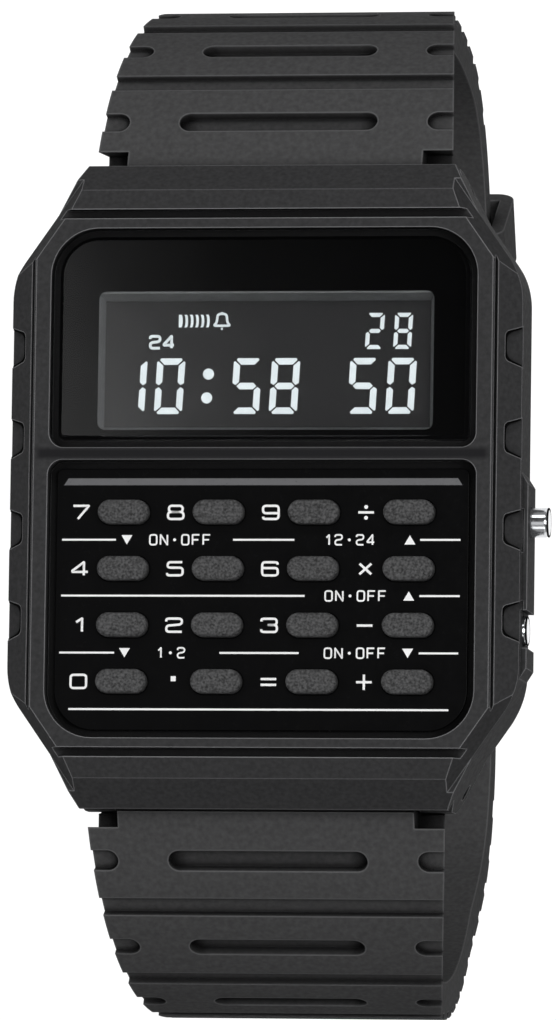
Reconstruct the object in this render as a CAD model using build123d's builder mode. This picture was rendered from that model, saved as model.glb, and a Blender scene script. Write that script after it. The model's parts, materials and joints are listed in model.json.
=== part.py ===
from build123d import *
import math
import os

os.makedirs("parts", exist_ok=True)

# Calculator watch, in millimetres
# The origin is the middle of the case back's outer face, +Z runs out of the dial,
# +Y towards 12 o'clock and +X towards 3 o'clock, the side that carries the pushers.

# Clearances
slide_gap = 0.05  # a moving piece in its bore or slot
seat_gap = 0.03  # a fitted piece in its pocket
part_gap = 0.12  # loose pieces inside the case
cut_over = 1.0  # how far a cut runs past the face it opens

# Case
case_length = 43.2
case_width = 34.4
case_top = 8.2
case_half_length = case_length / 2
case_half_width = case_width / 2
face_inset = 1.7
face_half_width = case_half_width - face_inset
end_inset = 4.8
end_half_width = case_half_width - end_inset
shoulder_inset = 3.0
shoulder_x = case_half_width - shoulder_inset
shoulder_reach = 3.5
shoulder_y = case_half_length - shoulder_reach
cheek_reach = 7.8
cheek_y = case_half_length - cheek_reach
cheek_round = 5.0
slope_foot_z = 6.6
rim_break = 0.13
rim_groove_width = 0.2
rim_step = 0.28
rim_groove_depth = 0.14
slope_top_x = face_half_width + rim_groove_width
slope_top_z = case_top - rim_step
facet_width = 0.8
foot_inset = 1.3
foot_half_width = case_half_width - foot_inset
foot_z = 1.6
body_floor_z = 0.2
ridge_inset = 1.9
ridge_y = case_half_length - ridge_inset
ridge_z = 7.5
end_edge_z = 5.4
groove_inset = 3.6
groove_y = case_half_length - groove_inset
groove_width = 0.6
groove_depth = 0.7

# Notches along the case sides
notch_count = 4
notch_pitch = 6.1
notch_length = 2.9
notch_rise = 1.37
notch_over = 0.4
notch_flank = 74
notch_depth = 0.32
notch_round = 0.4

# Cavity and deck of the case
side_wall = 3.2
end_wall = 6.2
cavity_half_width = case_half_width - side_wall
cavity_half_length = case_half_length - end_wall
cavity_round = 4.0
deck_under_z = 5.9
back_lap = 1.2
back_half_width = cavity_half_width + back_lap
back_half_length = cavity_half_length + back_lap
back_round = 2.2
back_thick = 0.6
back_break = 0.2
gasket_inset = 0.2
gasket_width = 0.5
gasket_height = 0.45
gasket_play = 0.04

# Case back screws
screw_inset = 0.2
screw_x = cavity_half_width - screw_inset
screw_y = cavity_half_length - screw_inset
screw_thread_radius = 0.55
screw_head_radius = 0.95
screw_head_height = 0.32
screw_length = 2.4
screw_slot_width = 0.28
screw_slot_depth = 0.14
screw_slot_turn = 30
screw_sunk = 0.03

# Window
window_side_rim = 2.85
window_half_width = case_half_width - window_side_rim
window_low_y = 2.33
window_end_rim = 4.57
window_high_y = case_half_length - window_end_rim
window_outer_round = 3.2
window_inner_round = 1.0
ring_gap = 0.55
ring_floor_z = 7.0
glass_low_z = 6.4
glass_top_z = 8.0
glass_bevel = 0.25
aperture_side_inset = 2.75
aperture_half_width = window_half_width - aperture_side_inset
aperture_low_inset = 0.97
aperture_low_y = window_low_y + aperture_low_inset
aperture_high_inset = 3.93
aperture_high_y = window_high_y - aperture_high_inset

# Display
lcd_reach = 0.6
lcd_lap = 0.4
lcd_half_width = aperture_half_width + lcd_reach
lcd_low_y = aperture_low_y - lcd_lap
lcd_high_y = aperture_high_y + lcd_lap
lcd_low_z = 4.3
lcd_plate = 0.62
lcd_step = 0.9
frame_flange_reach = 0.8
collar_wall = 0.3
collar_side_inset = 0.62
collar_low_half_width = aperture_half_width - collar_side_inset
collar_low_inset = 0.56
collar_low_y = aperture_low_y + collar_low_inset
collar_high_inset = 0.74
collar_high_y = aperture_high_y - collar_high_inset
strip_width = 1.1

# Keypad
pad_side_rim = 2.8
pad_half_width = case_half_width - pad_side_rim
pad_high_y = 1.5
pad_end_rim = 4.55
pad_low_y = pad_end_rim - case_half_length
pad_floor_z = 6.9
panel_thick = 0.5
key_columns = 4
key_rows = 4
key_pitch_x_share = 4 / 9
key_pitch_y_share = 0.2032
key_pitch_x = pad_half_width * key_pitch_x_share
key_pitch_y = (pad_high_y - pad_low_y) * key_pitch_y_share
key_side_inset = 5.1
key_first_x = key_side_inset - pad_half_width
key_high_inset = 3.46
key_first_y = pad_high_y - key_high_inset
key_length = 3.43
key_width = 1.62
key_top_z = 8.12
key_edge = 0.22
key_flange = 0.35
key_flange_thick = 0.5
mat_thick = 0.7
mat_dome_height = 0.62
mat_dome_radius = 0.85
mat_inset = 1.1
mat_half_width = cavity_half_width - mat_inset
mat_dome_taper = 20

# Movement
module_low_z = 0.95
module_plate = 1.9
module_wall = 0.8
board_thick = 0.6
chip_side = 5.2
chip_thick = 0.6
chip_y = 8.2
crystal_radius = 0.4
crystal_length = 5.0
crystal_y = 5.0
battery_radius = 10.0
battery_thick = 1.6
battery_y = 4.6
battery_rim = 0.35
battery_step = 0.2
clip_thick = 0.2
clip_width = 4.4
clip_lift = 0.08
piezo_radius = 4.4
piezo_thick = 0.22
piezo_core_radius = 3.0
piezo_core_thick = 0.1
piezo_y = -10.6
coil_wire = 0.11
alarm_coil_radius = 0.55
alarm_coil_turns = 5

# Pushers
pusher_z = 4.3
mode_y = -2.35
adjust_y = -9.6
pusher_radius = 1.0
pusher_shaft = 0.55
pusher_groove = 0.12
pusher_round = 0.3
pusher_travel = 0.65
mode_reach = 1.25  # how far the mode pusher stands out of the guard
adjust_sink = 0.1  # how far the adjust pusher stays inside the guard
mode_head_length = 1.95
adjust_head_length = 1.2
spring_room = 1.35
pusher_clip_thick = 0.2
pusher_clip_radius = 1.0
seal_radius = 0.22
seal_depth = 0.5
seal_x = cavity_half_width + seal_depth
guard_stand = 0.45
guard_low_y = -12.9
guard_high_y = 0.8
guard_slope = 0.7
guard_low_z = 2.2
guard_high_z = 6.2
guard_notch_length = 2.5
push_coil_radius = 0.8
push_coil_turns = 3

# Strap bars and the ends of the case
lug_round = 1.4
bar_y = case_half_length - lug_round
bar_z = lug_round
bar_radius = 0.75
bar_tip_radius = 0.45
bar_tip_length = 1.9
lug_gap = 0.1
recess_depth = 2.0
recess_y = bar_y - recess_depth
recess_top_z = 4.85
lug_back_inset = 0.7
lug_back_y = case_half_length - lug_back_inset
lug_corner_z = 2.95
strap_root_half_width = 12.1
tongue_inset = 2.1
tongue_half_width = strap_root_half_width - tongue_inset
tongue_gap = 0.25

# Strap halves, as seen from the side: straight root, then arcs that touch
strap_thick = 2.6
strap_side_inset = 2.5
strap_side_half_width = strap_root_half_width - strap_side_inset
root_clear = 0.1
root_y = case_half_length + root_clear
root_z = 4.31
root_slope = 25
root_run = 1.6
root_shelf_inset = 0.6
root_shelf_y = bar_y - root_shelf_inset
root_shelf_z = 4.2
root_flare_run = 7.5
root_flare_y = bar_y + root_flare_run
shoulder_back_clear = 1.15
shoulder_back_y = case_half_length + shoulder_back_clear
shoulder_lip_inset = 0.3
shoulder_lip_y = case_half_length - shoulder_lip_inset
knuckle_radius = 1.6
strap_arc = 20.0
upper_arcs = ((60.0, 12), (16.0, 50))
upper_tail = 12.0
upper_end_inset = 0.4
upper_end_half_width = strap_side_half_width - upper_end_inset
lower_arcs = ((55.0, 35), (14.0, 55))
lower_tail = 40.5
lower_knee_z = -39.0
lower_end_inset = 1.2
lower_end_half_width = strap_side_half_width - lower_end_inset
lower_tip_flat = 0.8
lower_tip_round = lower_end_half_width - lower_tip_flat

# Rungs of the strap
rung_pitch = 7.4
rung_groove_first = 7.3
rung_groove = 1.45
rung_groove_depth = 0.45
rung_slot_first = 3.6
rung_slot = 1.5
rung_slot_depth = 0.7
rung_slot_margin = 5.0
rung_edge_slot = 1.6
rung_edge_depth = 0.4
upper_rungs = 6
lower_rungs = 9
strap_holes = 7
strap_hole_pitch = 5.0
strap_hole_radius = 1.15
strap_hole_from_tip = 8.5

# Buckle
buckle_bar_radius = 0.7
buckle_overhang = 1.9
buckle_half_width = upper_end_half_width + buckle_overhang
buckle_arm = 1.5
buckle_length = 12.8
buckle_heel = 1.3
buckle_rail = 2.0
buckle_thick = 1.6
buckle_break = 0.3
buckle_heel_round = 1.15
buckle_tilt = 25
prong_slot_half_width = 1.25
prong_slot_reach = 2.9
prong_half_width = 0.9
prong_thick = 0.8
prong_eye = 1.25
prong_overhang = 0.4
prong_rest_gap = 0.06

# Keeper
keeper_width = 4.5
keeper_wall = 1.3
keeper_side_wall = 1.0
keeper_gap = 0.3
keeper_before_end = 8.2
keeper_round = 0.7


def upper_view():
    """The side view of the 12 o'clock half: across is +Y, up is +Z."""
    return Plane.YZ


def lower_view():
    """The side view of the 6 o'clock half: across is -Y, up is +Z."""
    return Plane(origin=(0, 0, 0), x_dir=(0, -1, 0), z_dir=(-1, 0, 0))


def save(piece, name):
    """Label a finished piece and write it."""
    piece.part.label = name
    export_step(piece.part, f"parts/{name}.step")


def rounded_outline(half_width, low_y, high_y, outer_round, inner_round, flip=1):
    """A rectangle with large corners at its far edge and small ones at its near edge."""
    with Locations((0, (low_y + high_y) / 2)):
        Rectangle(2 * half_width, high_y - low_y)
    corners = vertices().group_by(Axis.Y)
    far, near = (corners[-1], corners[0]) if flip > 0 else (corners[0], corners[-1])
    fillet(far, outer_round)
    near = vertices().group_by(Axis.Y)[0 if flip > 0 else -1]
    fillet(near, inner_round)


def key_places():
    """The middle of each key, row by row from the window down."""
    return [
        (key_first_x + column * key_pitch_x, key_first_y - row * key_pitch_y)
        for row in range(key_rows)
        for column in range(key_columns)
    ]


guard_x = case_half_width + guard_stand
board_low_z = module_low_z + module_plate
board_top_z = board_low_z + board_thick
lcd_top_z = lcd_low_z + 2 * lcd_plate
pusher_bore = pusher_shaft + slide_gap
pusher_well = pusher_radius + slide_gap
mode_head_x = guard_x + mode_reach - mode_head_length
adjust_head_x = guard_x - adjust_sink - adjust_head_length
key_flange_top_z = deck_under_z - slide_gap

# Case: outline from above, trimmed to its end view and its side view
with BuildPart() as case:
    with BuildSketch():
        with BuildLine():
            Polyline(
                (end_half_width, case_half_length),
                (shoulder_x, shoulder_y),
                (case_half_width, cheek_y),
                (case_half_width, -cheek_y),
                (shoulder_x, -shoulder_y),
                (end_half_width, -case_half_length),
                (-end_half_width, -case_half_length),
                (-shoulder_x, -shoulder_y),
                (-case_half_width, -cheek_y),
                (-case_half_width, cheek_y),
                (-shoulder_x, shoulder_y),
                (-end_half_width, case_half_length),
                close=True,
            )
        make_face()
        fillet(vertices().group_by(Axis.X)[0] + vertices().group_by(Axis.X)[-1], cheek_round)
    extrude(amount=case_top)
    with BuildSketch(Plane.XZ):
        with BuildLine():
            Polyline(
                (foot_half_width, 0),
                (case_half_width, foot_z),
                (case_half_width, slope_foot_z),
                (slope_top_x, slope_top_z),
                (face_half_width, slope_top_z - rim_groove_depth),
                (face_half_width, case_top - rim_break),
                (face_half_width - rim_break, case_top),
                (rim_break - face_half_width, case_top),
                (-face_half_width, case_top - rim_break),
                (-face_half_width, slope_top_z - rim_groove_depth),
                (-slope_top_x, slope_top_z),
                (-case_half_width, slope_foot_z),
                (-case_half_width, foot_z),
                (-foot_half_width, 0),
                close=True,
            )
        make_face()
    extrude(amount=case_length, both=True, mode=Mode.INTERSECT)
    with BuildSketch(Plane.YZ):
        with BuildLine():
            top = Polyline(
                (0, case_top),
                (groove_y + groove_width / 2, case_top),
                (ridge_y, ridge_z),
                (case_half_length, end_edge_z),
                (case_half_length, recess_top_z),
                (lug_back_y, recess_top_z),
                (case_half_length, lug_corner_z),
                (case_half_length, bar_z),
            )
            low = RadiusArc(top @ 1, (bar_y, bar_z - lug_round), lug_round)
            Polyline(low @ 1, (recess_y, 0), (recess_y, body_floor_z), (0, body_floor_z))
            mirror(about=Plane.YZ)
        make_face()
    extrude(amount=case_width, both=True, mode=Mode.INTERSECT)
    # facet on each shoulder, from the foot of the slopes to the face
    for side in (1, -1):
        for end in (1, -1):
            out_x = side * (shoulder_y - cheek_y)
            out_y = end * (case_half_width - shoulder_x)
            corner = Plane(
                origin=(side * shoulder_x, end * shoulder_y, 0),
                x_dir=(out_x, out_y, 0),
                z_dir=(out_y, -out_x, 0),
            )
            with BuildSketch(corner) as facet:
                with BuildLine():
                    Polyline(
                        (0, slope_foot_z),
                        (-facet_width, case_top),
                        (cut_over, case_top),
                        (cut_over, slope_foot_z),
                        close=True,
                    )
                make_face()
            extrude(facet.sketch, amount=case_length, both=True, mode=Mode.SUBTRACT)
    # grooves across the face, before the end plates
    with BuildSketch(Plane.YZ):
        with Locations((groove_y, case_top), (-groove_y, case_top)):
            Rectangle(groove_width, 2 * groove_depth)
    extrude(amount=case_width, both=True, mode=Mode.SUBTRACT)
    # guard along the pushers
    with BuildSketch(Plane.XY.offset(guard_low_z)):
        with BuildLine():
            Polyline(
                (case_half_width - guard_stand, guard_low_y),
                (case_half_width, guard_low_y),
                (guard_x, guard_low_y + guard_slope),
                (guard_x, guard_high_y - guard_slope),
                (case_half_width, guard_high_y),
                (case_half_width - guard_stand, guard_high_y),
                close=True,
            )
        make_face()
    extrude(amount=guard_high_z - guard_low_z)
    # gap in the guard beside the sunken pusher
    with BuildSketch(Plane.YZ.offset(case_half_width)):
        with Locations((adjust_y, pusher_z)):
            Rectangle(guard_notch_length, guard_high_z)
    extrude(amount=guard_stand + cut_over, mode=Mode.SUBTRACT)
    # notches in the sloped sides, square to the slope
    for side in (1, -1):
        slope = Plane(
            origin=(side * case_half_width, 0, slope_foot_z),
            x_dir=(0, side, 0),
            z_dir=(side * (slope_top_z - slope_foot_z), 0, case_half_width - slope_top_x),
        )
        with BuildSketch(slope) as notches:
            for step in range(notch_count):
                middle = (step - (notch_count - 1) / 2) * notch_pitch
                with Locations((middle, -notch_over)):
                    Trapezoid(
                        notch_length,
                        notch_over + notch_rise,
                        notch_flank,
                        align=(Align.CENTER, Align.MIN),
                    )
            fillet(vertices().group_by(Axis.Y)[-1], notch_round)
        extrude(notches.sketch, amount=-notch_depth, mode=Mode.SUBTRACT)
    # rim of the window and of the keypad
    with BuildSketch(Plane.XY.offset(ring_floor_z)):
        rounded_outline(
            window_half_width, window_low_y, window_high_y, window_outer_round, window_inner_round
        )
    extrude(amount=case_top, mode=Mode.SUBTRACT)
    with BuildSketch(Plane.XY.offset(pad_floor_z)):
        rounded_outline(
            pad_half_width, pad_low_y, pad_high_y, window_outer_round, window_inner_round, -1
        )
    extrude(amount=case_top, mode=Mode.SUBTRACT)
    # seat of the glass and the opening under it
    with BuildSketch(Plane.XY.offset(glass_low_z)):
        rounded_outline(
            window_half_width - ring_gap + seat_gap,
            window_low_y + ring_gap - seat_gap,
            window_high_y - ring_gap + seat_gap,
            window_outer_round - ring_gap,
            window_inner_round - ring_gap,
        )
    extrude(amount=case_top, mode=Mode.SUBTRACT)
    with BuildSketch(Plane.XY.offset(body_floor_z)):
        with Locations((0, (aperture_low_y + aperture_high_y) / 2)):
            Rectangle(2 * aperture_half_width, aperture_high_y - aperture_low_y)
    extrude(amount=case_top, mode=Mode.SUBTRACT)
    # openings of the keys
    with BuildSketch(Plane.XY.offset(deck_under_z - cut_over)):
        with Locations(*key_places()):
            SlotOverall(key_length + 2 * slide_gap, key_width + 2 * slide_gap)
    extrude(amount=case_top, mode=Mode.SUBTRACT)
    # cavity for the movement, seat of the back and groove of the gasket
    with BuildSketch():
        RectangleRounded(2 * cavity_half_width, 2 * cavity_half_length, cavity_round)
    extrude(amount=deck_under_z, mode=Mode.SUBTRACT)
    with BuildSketch():
        RectangleRounded(
            2 * (back_half_width + seat_gap), 2 * (back_half_length + seat_gap), back_round
        )
    extrude(amount=back_thick, mode=Mode.SUBTRACT)
    with BuildSketch(Plane.XY.offset(back_thick)):
        with BuildSketch(mode=Mode.PRIVATE) as inner:
            RectangleRounded(
                2 * (cavity_half_width + gasket_inset),
                2 * (cavity_half_length + gasket_inset),
                cavity_round + gasket_inset,
            )
        RectangleRounded(
            2 * (cavity_half_width + gasket_inset + gasket_width),
            2 * (cavity_half_length + gasket_inset + gasket_width),
            cavity_round + gasket_inset + gasket_width,
        )
        add(inner.sketch, mode=Mode.SUBTRACT)
    extrude(amount=gasket_height, mode=Mode.SUBTRACT)
    # threads of the back screws
    with BuildSketch():
        with GridLocations(2 * screw_x, 2 * screw_y, 2, 2):
            Circle(screw_thread_radius + seat_gap)
    extrude(amount=screw_length + part_gap, mode=Mode.SUBTRACT)
    # recesses for the strap ends, and the holes of the bars
    for view in (upper_view(), lower_view()):
        with BuildSketch(view):
            with BuildLine():
                Polyline(
                    (recess_y, -cut_over),
                    (case_half_length + cut_over, -cut_over),
                    (case_half_length + cut_over, recess_top_z),
                    (recess_y, recess_top_z),
                    close=True,
                )
            make_face()
        extrude(amount=tongue_half_width + tongue_gap, both=True, mode=Mode.SUBTRACT)
        with BuildSketch(view):
            with Locations((bar_y, bar_z)):
                Circle(bar_tip_radius + slide_gap)
        extrude(amount=case_half_width, both=True, mode=Mode.SUBTRACT)
    # bores and wells of the pushers, and the pockets of their seals
    for y, head_x in ((mode_y, mode_head_x), (adjust_y, adjust_head_x)):
        with BuildSketch(Plane.YZ.offset(cavity_half_width - cut_over)):
            with Locations((y, pusher_z)):
                Circle(pusher_bore)
        extrude(amount=case_half_width, mode=Mode.SUBTRACT)
        with BuildSketch(Plane.YZ.offset(head_x - spring_room)):
            with Locations((y, pusher_z)):
                Circle(pusher_well)
        extrude(amount=case_half_width, mode=Mode.SUBTRACT)
        with BuildSketch(Plane.YZ.offset(seal_x - seal_radius)):
            with Locations((y, pusher_z)):
                Circle(pusher_bore + 2 * seal_radius)
        extrude(amount=2 * seal_radius, mode=Mode.SUBTRACT)
save(case, "case")

# Window glass: a thick plate with a bevelled upper edge
with BuildPart() as window_glass:
    with BuildSketch(Plane.XY.offset(glass_low_z)):
        rounded_outline(
            window_half_width - ring_gap,
            window_low_y + ring_gap,
            window_high_y - ring_gap,
            window_outer_round - ring_gap,
            window_inner_round - ring_gap,
        )
    extrude(amount=glass_top_z - glass_low_z)
    chamfer(window_glass.faces().sort_by(Axis.Z)[-1].edges(), glass_bevel)
save(window_glass, "window_glass")

# Display frame: a flange under the deck and a funnel collar that rises to the glass
with BuildPart() as display_frame:
    with BuildSketch(Plane.XY.offset(lcd_top_z)):
        with Locations((0, (aperture_low_y + aperture_high_y) / 2)):
            Rectangle(
                2 * (aperture_half_width + frame_flange_reach),
                aperture_high_y - aperture_low_y + 2 * frame_flange_reach,
            )
    extrude(amount=deck_under_z - seat_gap - lcd_top_z)
    with BuildSketch(Plane.XY.offset(lcd_top_z)):
        with Locations((0, (aperture_low_y + aperture_high_y) / 2)):
            Rectangle(
                2 * (aperture_half_width - slide_gap),
                aperture_high_y - aperture_low_y - 2 * slide_gap,
            )
    extrude(amount=glass_low_z - seat_gap - lcd_top_z)
    with BuildSketch(Plane.XY.offset(lcd_top_z)):
        with Locations((0, (collar_low_y + collar_high_y) / 2)):
            Rectangle(2 * collar_low_half_width, collar_high_y - collar_low_y)
    with BuildSketch(Plane.XY.offset(glass_low_z)):
        with Locations((0, (aperture_low_y + aperture_high_y) / 2)):
            Rectangle(
                2 * (aperture_half_width - collar_wall),
                aperture_high_y - aperture_low_y - 2 * collar_wall,
            )
    loft(mode=Mode.SUBTRACT)
save(display_frame, "display_frame")

# Display: two glass plates, the lower one longer to carry the contacts
with BuildPart() as lcd_panel:
    with BuildSketch(Plane.XY.offset(lcd_low_z)):
        with Locations((0, (lcd_low_y + lcd_high_y) / 2)):
            Rectangle(2 * lcd_half_width, lcd_high_y - lcd_low_y)
    extrude(amount=lcd_plate)
    with BuildSketch(Plane.XY.offset(lcd_low_z + lcd_plate)):
        with Locations((0, (lcd_low_y + lcd_high_y) / 2)):
            Rectangle(2 * lcd_half_width, lcd_high_y - lcd_low_y - lcd_step)
    extrude(amount=lcd_plate)
save(lcd_panel, "lcd_panel")

# Contact strips between the board and the display
with BuildPart() as contact_strips:
    with BuildSketch(Plane.XY.offset(board_top_z)):
        with Locations(
            (0, lcd_low_y + strip_width / 2),
            (0, lcd_high_y - strip_width / 2),
        ):
            Rectangle(2 * (lcd_half_width - frame_flange_reach), strip_width)
    extrude(amount=lcd_low_z - board_top_z)
save(contact_strips, "contact_strips")

# Module frame: a floor with the battery well, and a wall round the board
with BuildPart() as module_frame:
    with BuildSketch(Plane.XY.offset(module_low_z)):
        RectangleRounded(
            2 * (cavity_half_width - part_gap), 2 * (cavity_half_length - part_gap), cavity_round
        )
    extrude(amount=lcd_low_z - module_low_z)
    with BuildSketch(Plane.XY.offset(board_low_z)):
        RectangleRounded(
            2 * (cavity_half_width - part_gap - module_wall),
            2 * (cavity_half_length - part_gap - module_wall),
            cavity_round - module_wall,
        )
    extrude(amount=case_top, mode=Mode.SUBTRACT)
    with BuildSketch(Plane.XY.offset(module_low_z)):
        with Locations((0, battery_y)):
            Circle(battery_radius + part_gap)
    extrude(amount=battery_thick + part_gap, mode=Mode.SUBTRACT)
    # passage of the alarm spring and the battery contact
    with BuildSketch():
        with Locations((0, piezo_y), (0, battery_y)):
            Circle(alarm_coil_radius + 2 * coil_wire + part_gap)
    extrude(amount=case_top, mode=Mode.SUBTRACT)
    # slots for the inner ends of the pushers
    with BuildSketch(Plane.YZ):
        for y in (mode_y, adjust_y):
            with Locations((y, pusher_z + cut_over / 2)):
                Rectangle(
                    2 * (pusher_clip_radius + part_gap),
                    2 * (pusher_clip_radius + part_gap) + cut_over,
                )
    extrude(amount=case_width, mode=Mode.SUBTRACT)
save(module_frame, "module_frame")

# Circuit board with a relief at each corner
with BuildPart() as circuit_board:
    with BuildSketch(Plane.XY.offset(board_low_z)):
        RectangleRounded(
            2 * (cavity_half_width - 2 * part_gap - module_wall),
            2 * (cavity_half_length - 2 * part_gap - module_wall),
            cavity_round - module_wall,
        )
        for y in (mode_y, adjust_y):
            with Locations((cavity_half_width - module_wall, y)):
                Rectangle(
                    2 * (pusher_travel + module_wall),
                    2 * (pusher_clip_radius + part_gap),
                    mode=Mode.SUBTRACT,
                )
    extrude(amount=board_thick)
save(circuit_board, "circuit_board")

# Chip under the display
with BuildPart() as chip:
    with BuildSketch(Plane.XY.offset(board_top_z)):
        with Locations((0, chip_y)):
            Rectangle(chip_side, chip_side)
    extrude(amount=chip_thick)
    chamfer(chip.faces().sort_by(Axis.Z)[-1].edges(), chip_thick / 4)
save(chip, "chip")

# Quartz crystal in its can, lying on the board
with BuildPart() as quartz_crystal:
    with BuildSketch(Plane.YZ.offset(-crystal_length / 2)):
        with Locations((crystal_y, board_top_z + crystal_radius)):
            Circle(crystal_radius)
    extrude(amount=crystal_length)
    fillet(quartz_crystal.edges(), crystal_radius / 4)
save(quartz_crystal, "quartz_crystal")

# Coin cell: the can below and the smaller contact face above
with BuildPart() as battery:
    with BuildSketch(Plane.XY.offset(module_low_z)):
        with Locations((0, battery_y)):
            Circle(battery_radius)
    extrude(amount=battery_thick - battery_step)
    fillet(battery.faces().sort_by(Axis.Z)[0].edges(), battery_step)
    with BuildSketch(Plane.XY.offset(module_low_z + battery_thick - battery_step)):
        with Locations((0, battery_y)):
            Circle(battery_radius - battery_rim - battery_step)
    extrude(amount=battery_step)
save(battery, "battery")

# Battery clip: a flat strap under the cell with a foot at each end against the frame
with BuildPart() as battery_clip:
    clip_reach = cavity_half_width - part_gap - module_wall
    with BuildSketch(Plane.XY.offset(module_low_z - clip_lift - clip_thick)):
        with Locations((0, battery_y)):
            Rectangle(2 * clip_reach, clip_width)
            Circle(clip_width * 3 / 4)
        with Locations((0, battery_y)):
            SlotOverall(clip_reach, clip_width / 3, mode=Mode.SUBTRACT)
    extrude(amount=clip_thick)
    with BuildSketch(Plane.XY.offset(module_low_z - clip_lift)):
        with Locations((clip_reach - clip_width / 4, battery_y), (-clip_reach + clip_width / 4, battery_y)):
            Rectangle(clip_width / 2, clip_width)
    extrude(amount=clip_lift)
save(battery_clip, "battery_clip")

# Keypad plate with its sixteen openings
with BuildPart() as keypad_panel:
    with BuildSketch(Plane.XY.offset(pad_floor_z)):
        rounded_outline(
            pad_half_width - ring_gap,
            pad_low_y + ring_gap,
            pad_high_y - ring_gap,
            window_outer_round - ring_gap,
            window_inner_round - ring_gap,
            -1,
        )
        with Locations(*key_places()):
            SlotOverall(key_length + 2 * slide_gap, key_width + 2 * slide_gap, mode=Mode.SUBTRACT)
    extrude(amount=panel_thick)
save(keypad_panel, "keypad_panel")

# Contact mat: a rubber sheet on the board with a dome under each key
with BuildPart() as keypad_mat:
    mat_high_y = lcd_low_y - frame_flange_reach
    mat_low_y = -(cavity_half_length - part_gap - module_wall - part_gap)
    with BuildSketch(Plane.XY.offset(board_top_z)):
        with Locations((0, (mat_high_y + mat_low_y) / 2)):
            Rectangle(2 * mat_half_width, mat_high_y - mat_low_y)
        fillet(vertices().group_by(Axis.Y)[0], cavity_round - module_wall)
        for y in (mode_y, adjust_y):
            with Locations((mat_half_width, y)):
                Rectangle(
                    2 * (pusher_travel + part_gap),
                    2 * (pusher_clip_radius + part_gap),
                    mode=Mode.SUBTRACT,
                )
    extrude(amount=mat_thick)
    with BuildSketch(Plane.XY.offset(board_top_z + mat_thick)):
        with Locations(*key_places()):
            Circle(mat_dome_radius)
    extrude(amount=mat_dome_height, taper=mat_dome_taper)
save(keypad_mat, "keypad_mat")

# Keys: pill caps on a flange that the deck holds in
key_names = (
    "key_7", "key_8", "key_9", "key_divide",
    "key_4", "key_5", "key_6", "key_times",
    "key_1", "key_2", "key_3", "key_minus",
    "key_0", "key_point", "key_equals", "key_plus",
)
for key_name, place in zip(key_names, key_places()):
    with BuildPart() as key:
        with BuildSketch(Plane.XY.offset(key_flange_top_z - key_flange_thick)):
            with Locations(place):
                SlotOverall(key_length + 2 * key_flange, key_width + 2 * key_flange)
        extrude(amount=key_flange_thick)
        with BuildSketch(Plane.XY.offset(key_flange_top_z)):
            with Locations(place):
                SlotOverall(key_length, key_width)
        extrude(amount=key_top_z - key_flange_top_z)
        fillet(key.faces().sort_by(Axis.Z)[-1].edges(), key_edge)
    save(key, key_name)

# Pushers: a round head in its well, a shaft through the wall and a groove for the clip
pushers = (
    ("mode", mode_y, mode_head_x, mode_head_length),
    ("adjust", adjust_y, adjust_head_x, adjust_head_length),
)
clip_x = cavity_half_width - slide_gap - pusher_clip_thick
for pusher_name, y, head_x, head_length in pushers:
    with BuildPart() as pusher:
        with BuildSketch(Plane.YZ.offset(head_x)):
            with Locations((y, pusher_z)):
                Circle(pusher_radius)
        extrude(amount=head_length)
        fillet(pusher.faces().sort_by(Axis.X)[-1].edges(), pusher_round)
        with BuildSketch(Plane.YZ.offset(clip_x - pusher_clip_thick)):
            with Locations((y, pusher_z)):
                Circle(pusher_shaft)
        extrude(amount=head_x - clip_x + pusher_clip_thick)
        with BuildSketch(Plane.YZ.offset(clip_x)):
            with Locations((y, pusher_z)):
                Circle(pusher_shaft)
                Circle(pusher_shaft - pusher_groove, mode=Mode.SUBTRACT)
        extrude(amount=pusher_clip_thick, mode=Mode.SUBTRACT)
    save(pusher, pusher_name + "_pusher")
    # clip: an open ring in the groove
    with BuildPart() as clip:
        with BuildSketch(Plane.YZ.offset(clip_x)):
            with Locations((y, pusher_z)):
                Circle(pusher_clip_radius)
                Circle(pusher_shaft - pusher_groove, mode=Mode.SUBTRACT)
            with Locations((y, pusher_z - pusher_clip_radius)):
                Rectangle(
                    2 * (pusher_shaft - pusher_groove) * 5 / 6,
                    2 * pusher_clip_radius,
                    mode=Mode.SUBTRACT,
                )
        extrude(amount=pusher_clip_thick)
    save(clip, pusher_name + "_clip")
    # return spring round the shaft, from the floor of the well to the head
    with BuildPart() as spring:
        coil_length = spring_room - 2 * coil_wire - 2 * seat_gap
        coil_x = head_x - spring_room + coil_wire + seat_gap
        with BuildLine() as turns:
            Helix(
                pitch=coil_length / push_coil_turns,
                height=coil_length,
                radius=push_coil_radius,
                center=(coil_x, y, pusher_z),
                direction=(1, 0, 0),
            )
        with BuildSketch(Plane(turns.line @ 0, z_dir=turns.line % 0)):
            Circle(coil_wire)
        sweep(path=turns.line, is_frenet=True)
    save(spring, pusher_name + "_spring")

# Seals round both shafts, in their pockets in the case wall
with BuildPart() as pusher_seals:
    for pusher_name, y, head_x, head_length in pushers:
        with BuildSketch(Plane.XY.offset(pusher_z)):
            with Locations((seal_x, y + pusher_bore + seal_radius)):
                Circle(seal_radius)
        revolve(axis=Axis((0, y, pusher_z), (1, 0, 0)))
save(pusher_seals, "pusher_seals")

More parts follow.
